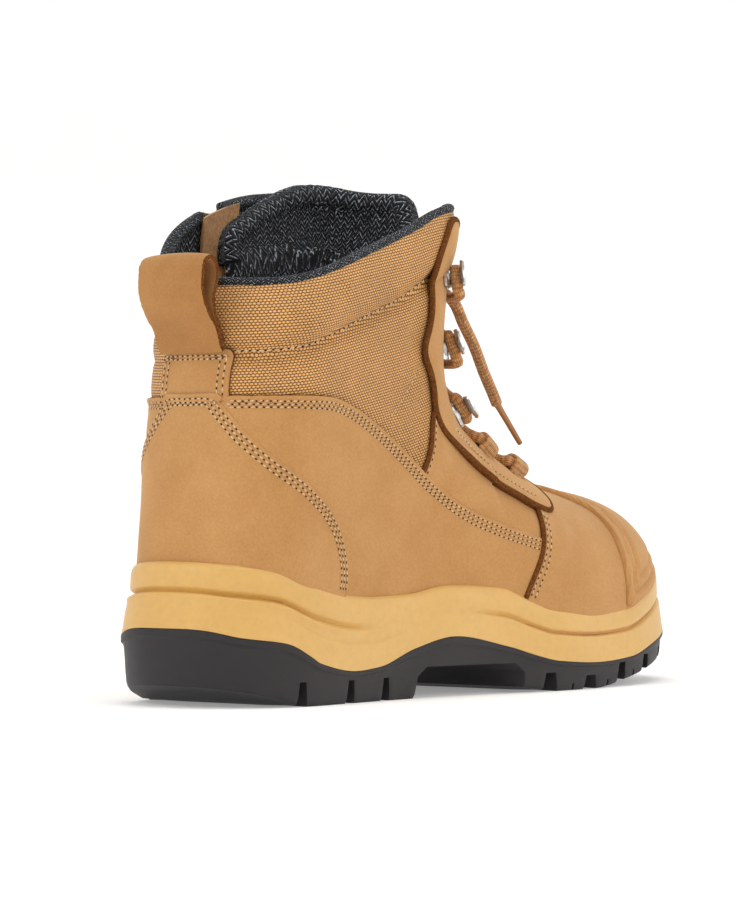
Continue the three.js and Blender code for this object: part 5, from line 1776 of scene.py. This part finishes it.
def place_holders(make, levels, prefix, word, material, slot):
    """Both sides' holders, from the lowest up, each in place of its solid."""
    for hand in ("lateral", "medial"):
        for number, t in enumerate(levels, 1):
            points, faces, uv = make(t, hand)
            name = f"{word}_{hand}_{number}"
            piece = add_mesh(prefix + name, points, faces, [material], None, uv, angle=50)
            put_right(piece)
            finish_piece(piece, slot, name)


place_holders(make_hook, HOOK_LEVELS, "steel_", "hook", nickel, "hook_steel")

# %% [markdown]
# The two lowest holders on each side are loops of ribbed webbing, sewn down at a flat foot. The
# lace runs through the eye.

# %% Webbing loops
WEBBING_THICKNESS = 1.5


def make_webbing(t, hand):
    axes = holder_axes(t, hand)
    r = LACE_DIAMETER / 2 + 0.1 + WEBBING_THICKNESS / 2
    rows = [(-r - 3.2, 0.5), (-r - 1.6, 0.55), (-r - 0.3, 0.9)]
    start = math.pi * 1.12
    for k in range(17):
        angle = start - (start + 0.12 * math.pi) * k / 16
        rows.append((r * math.cos(angle), 0.4 + r + r * math.sin(angle)))
    rows += [(r + 0.3, 0.9), (r + 1.6, 0.55), (r + 3.2, 0.5)]
    band = bent_strip(rows, [4.5] * len(rows), WEBBING_THICKNESS, axes)
    foot = bent_strip([(-r - 2.4, -0.1), (0, 0.0), (r + 2.4, -0.1)], [4.3] * 3, 1.2, axes)
    return join_shapes([band, foot])


place_holders(make_webbing, WEBBING_LEVELS, "ribbed_", "webbing", webbing, "lace_webbing")

# %% [markdown]
# The lace is one cord: straight across between the lowest loops, then from each holder to the next
# one up on the other side. It lies inside each hook's bend and through each loop's eye.

# %% Lace through the holders
CROSSING_HEIGHT = 3.6


def lace_side(sign):
    """Points from the middle of the lowest crossing up to the top hook, starting on one side."""
    loops = [(t, 0.4 + LACE_DIAMETER / 2 + 0.85, 0.0, 5.0) for t in WEBBING_LEVELS]
    hooks = [(t, 1.2 + LACE_DIAMETER / 2, 1.1, 4.6) for t in HOOK_LEVELS]
    holders = loops + hooks
    points = [over_front(holders[0][0] - 0.012, sign * 0.6, CROSSING_HEIGHT)[0]]
    for number, (t, centre, toward, reach) in enumerate(holders):
        hand = "lateral" if sign < 0 else "medial"
        origin, up, to_throat, out = holder_axes(t, hand)
        aside = origin + to_throat * (toward + 5.0) + out * (centre - 2.6)
        inside = origin + to_throat * toward + out * centre
        points.append(aside - up * (reach + 1.5))
        points.append(inside - up * reach)
        points.append(inside - to_throat * 0.5)
        points.append(inside + up * reach)
        if number < len(holders) - 1:
            points.append(aside + up * (reach + 1.5))
            ahead = holders[number + 1][0]
            over = 2.6 if sign < 0 else -1.8
            points.append(over_front((t + ahead) / 2, sign * 0.6, CROSSING_HEIGHT + over)[0])
            sign = -sign
    return points


outer_run = lace_side(-1)
inner_run = lace_side(1)
lace_path = catmull(list(reversed(outer_run)) + inner_run, 6)
points, faces, uv = tube(lace_path, LACE_DIAMETER, LACE_DIAMETER * 0.85, 16)
uv = uv * (1, 2)
lace = add_mesh("lace_through_holders", points, faces, [lace_braid], None, uv)
finish_piece(lace, "lace_cord", "lace_crossings")

# %% [markdown]
# The free end of the lace hangs from the top hook down in front of the vamp: about 60 mm of soft
# cord and its plastic tip, as in the solids.

# %% Lace end
LACE_START = [(139, -21.5, 158.5), (141, -26.5, 157)]
LACE_END = [
    (144.5, -28.5, 153), (149, -29, 146), (156.5, -29, 137), (163.5, -28.5, 127.3), (170, -28, 119.5),
    (174, -27.5, 114.8),
]
LACE_TIP = (191.5, -28.5, 96.5)
end_path = catmull(LACE_START + LACE_END, 5)
points, faces, uv = tube(end_path, LACE_DIAMETER * 1.08, LACE_DIAMETER * 1.02, 16)
uv = uv * (1, 2)
lace_end = add_mesh("lace_free_end", points, faces, [lace_braid], None, uv)
tip_start = np.array(LACE_END[-1], float)
tip_way = np.array(LACE_TIP, float) - tip_start
tip_way = tip_way / np.linalg.norm(tip_way)
tip_line = np.array([tip_start + tip_way * s for s in (-0.6, 0.6, 2, 6, 12, 18, 22)])
tip_width = np.array([3.9, 3.2, 2.7, 2.5, 2.4, 2.3, 2.1])
points, faces, uv = tube(tip_line, tip_width, tip_width, 14)
aglet = add_mesh("aglet_tip", points, faces, [aglet_plastic], None, uv)
finish_piece(aglet, "aglet_plastic", "aglet")
finish_piece(lace_end, "lace_cord", "lace_end")

# %% [markdown]
# The pull loop is one strap of leather folded over at the back of the collar, in a darker copy of the
# nubuck that is painted shade. Its two long edges are raw: dark, partly as painted shade, rough and
# a little uneven.

# %% Pull loop
LOOP_WIDTH = 30.0
LOOP_LINE = [
    (0.05, 0.0), (0.1, 0.1), (0.17, 0.28), (0.33, 0.45), (0.5, 0.68), (0.6, 0.92), (0.57, 1.1),
    (0.44, 1.17), (0.31, 1.08), (0.27, 0.88), (0.25, 0.65), (0.17, 0.42), (0.07, 0.24), (0.02, 0.1),
]


def make_loop(thickness=2.2, across=16):
    middle_line = []
    for out, up in LOOP_LINE:
        z = LOOP_BASE + up * LOOP_WIDTH
        middle_line.append((float(back_x(np.array(z))) - 0.5 - out * LOOP_WIDTH, z))
    line_points = catmull(np.array([(x, 0, z) for x, z in middle_line]), 9)[:, [0, 2]]
    ahead = np.gradient(line_points, axis=0)
    ahead = ahead / np.linalg.norm(ahead, axis=1, keepdims=True)
    side_way = np.column_stack([-ahead[:, 1], ahead[:, 0]])
    count = len(line_points)
    share = np.linspace(0, 1, count)
    rng = np.random.default_rng(7)
    rings, uv, slots = [], [], []
    for i in range(count):
        flare = 1.0 + 0.02 * math.sin(math.pi * share[i])
        for face in (1, -1):
            for k in np.linspace(-1, 1, across)[:: int(face)]:
                fuzz = rng.normal(0, 0.12) if abs(k) > 0.99 else 0
                half = (LOOP_WIDTH / 2 + fuzz) * flare
                cup = -0.9 * (k * k) * math.sin(math.pi * share[i])
                skin = face * thickness / 2 * (1 - 0.25 * abs(k) ** 8)
                flat = line_points[i] + side_way[i] * (skin + cup)
                rings.append((flat[0], k * half, flat[1]))
                uv.append((k * half, share[i] * 90))
    ring = 2 * across
    faces = []
    for i in range(count - 1):
        for j in range(ring):
            k = (j + 1) % ring
            faces.append((i * ring + j, i * ring + k, (i + 1) * ring + k, (i + 1) * ring + j))
            slots.append(1 if j in (across - 1, ring - 1) else 0)
    faces.append(tuple(reversed(range(ring))))
    faces.append(tuple((count - 1) * ring + j for j in range(ring)))
    slots += [1, 1]
    return np.array(rings), faces, slots, np.array(uv)


points, faces, slots, uv = make_loop()
loop = add_mesh("pull_loop_strap", points, faces, [loop_nubuck_painted_shade, edge_fibres_and_shade], slots, uv, angle=60)
put_right(loop)
finish_piece(loop, "nubuck", "pull_loop")

# %% [markdown]
# Small solids whose shape is right stay as they are and only get their finish.

# %% Finishes for the solids that stay
KEPT = {
    "insole": insole_cloth,
    "zip_guard": suede,
    "zip_tape_front": tape_cloth,
    "zip_tape_rear": tape_cloth,
    "zip_teeth": zip_metal,
    "zip_slider": zip_metal,
    "zip_pull_tab": zip_metal,
}
for name, material in KEPT.items():
    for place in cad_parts[name].material_slots:
        place.material = material

# %% [markdown]
# The boot stands in a wide pale bowl: a floor whose rim curves up behind it on every side. Four
# large soft lamps light it, one from above, one from each side and one from behind.

# %% Floor
def studio_bowl(radius=2.6, bend=0.9, height=2.4, around=96):
    profile = [(r, 0.0) for r in (0.4, 0.9, 1.4, radius - bend)]
    for k in range(1, 13):
        angle = math.pi / 2 * k / 12
        profile.append((radius - bend + bend * math.sin(angle), bend - bend * math.cos(angle)))
    profile.append((radius, height))
    points = [(0.0, 0.0, 0.0)]
    for r, z in profile:
        points += [
            (r * math.cos(2 * math.pi * j / around), r * math.sin(2 * math.pi * j / around), z)
            for j in range(around)
        ]
    faces = [(0, 1 + j, 1 + (j + 1) % around) for j in range(around)]
    for i in range(len(profile) - 1):
        a = 1 + i * around
        for j in range(around):
            k = (j + 1) % around
            faces.append((a + j, a + around + j, a + around + k, a + k))
    mesh = bpy.data.meshes.new("studio_floor")
    mesh.from_pydata(points, [], faces)
    mesh.polygons.foreach_set("use_smooth", [True] * len(mesh.polygons))
    floor = bpy.data.objects.new("studio_floor", mesh)
    COLLECTION.objects.link(floor)
    material, tree, shader = start_material("studio_paper", Roughness=0.9, Specular_IOR_Level=0.1)
    shader.inputs["Base Color"].default_value = colour("F4F3F1")
    shader.inputs["Emission Color"].default_value = (1, 1, 1, 1)
    shader.inputs["Emission Strength"].default_value = 0.24
    mesh.materials.append(material)
    return floor


floor = studio_bowl()


# %% Lamps and sky
def soft_lamp(name, place, aim, size, watts):
    data = bpy.data.lights.new(name, "AREA")
    data.shape = "DISK"
    data.size = size
    data.energy = watts
    lamp = bpy.data.objects.new(name, data)
    lamp.location = place
    lamp.rotation_euler = (Vector(aim) - Vector(place)).to_track_quat("-Z", "Y").to_euler()
    COLLECTION.objects.link(lamp)


soft_lamp("lamp_above", (0.0, -0.2, 1.9), (0.05, 0, 0.05), 1.2, 15)
soft_lamp("lamp_left", (-1.5, 0.3, 1.1), (0.05, 0, 0.1), 0.7, 5)
soft_lamp("lamp_right", (0.5, -1.7, 1.0), (0.05, 0, 0.1), 0.9, 3.5)
soft_lamp("lamp_behind", (1.4, 1.3, 1.3), (0.05, 0, 0.1), 0.8, 4)
world = bpy.data.worlds.new("studio_sky")
bpy.context.scene.world = world
world.use_nodes = True
world.node_tree.nodes["Background"].inputs["Color"].default_value = (1, 1, 1, 1)
world.node_tree.nodes["Background"].inputs["Strength"].default_value = 0.3
bpy.context.scene.view_settings.view_transform = "Standard"
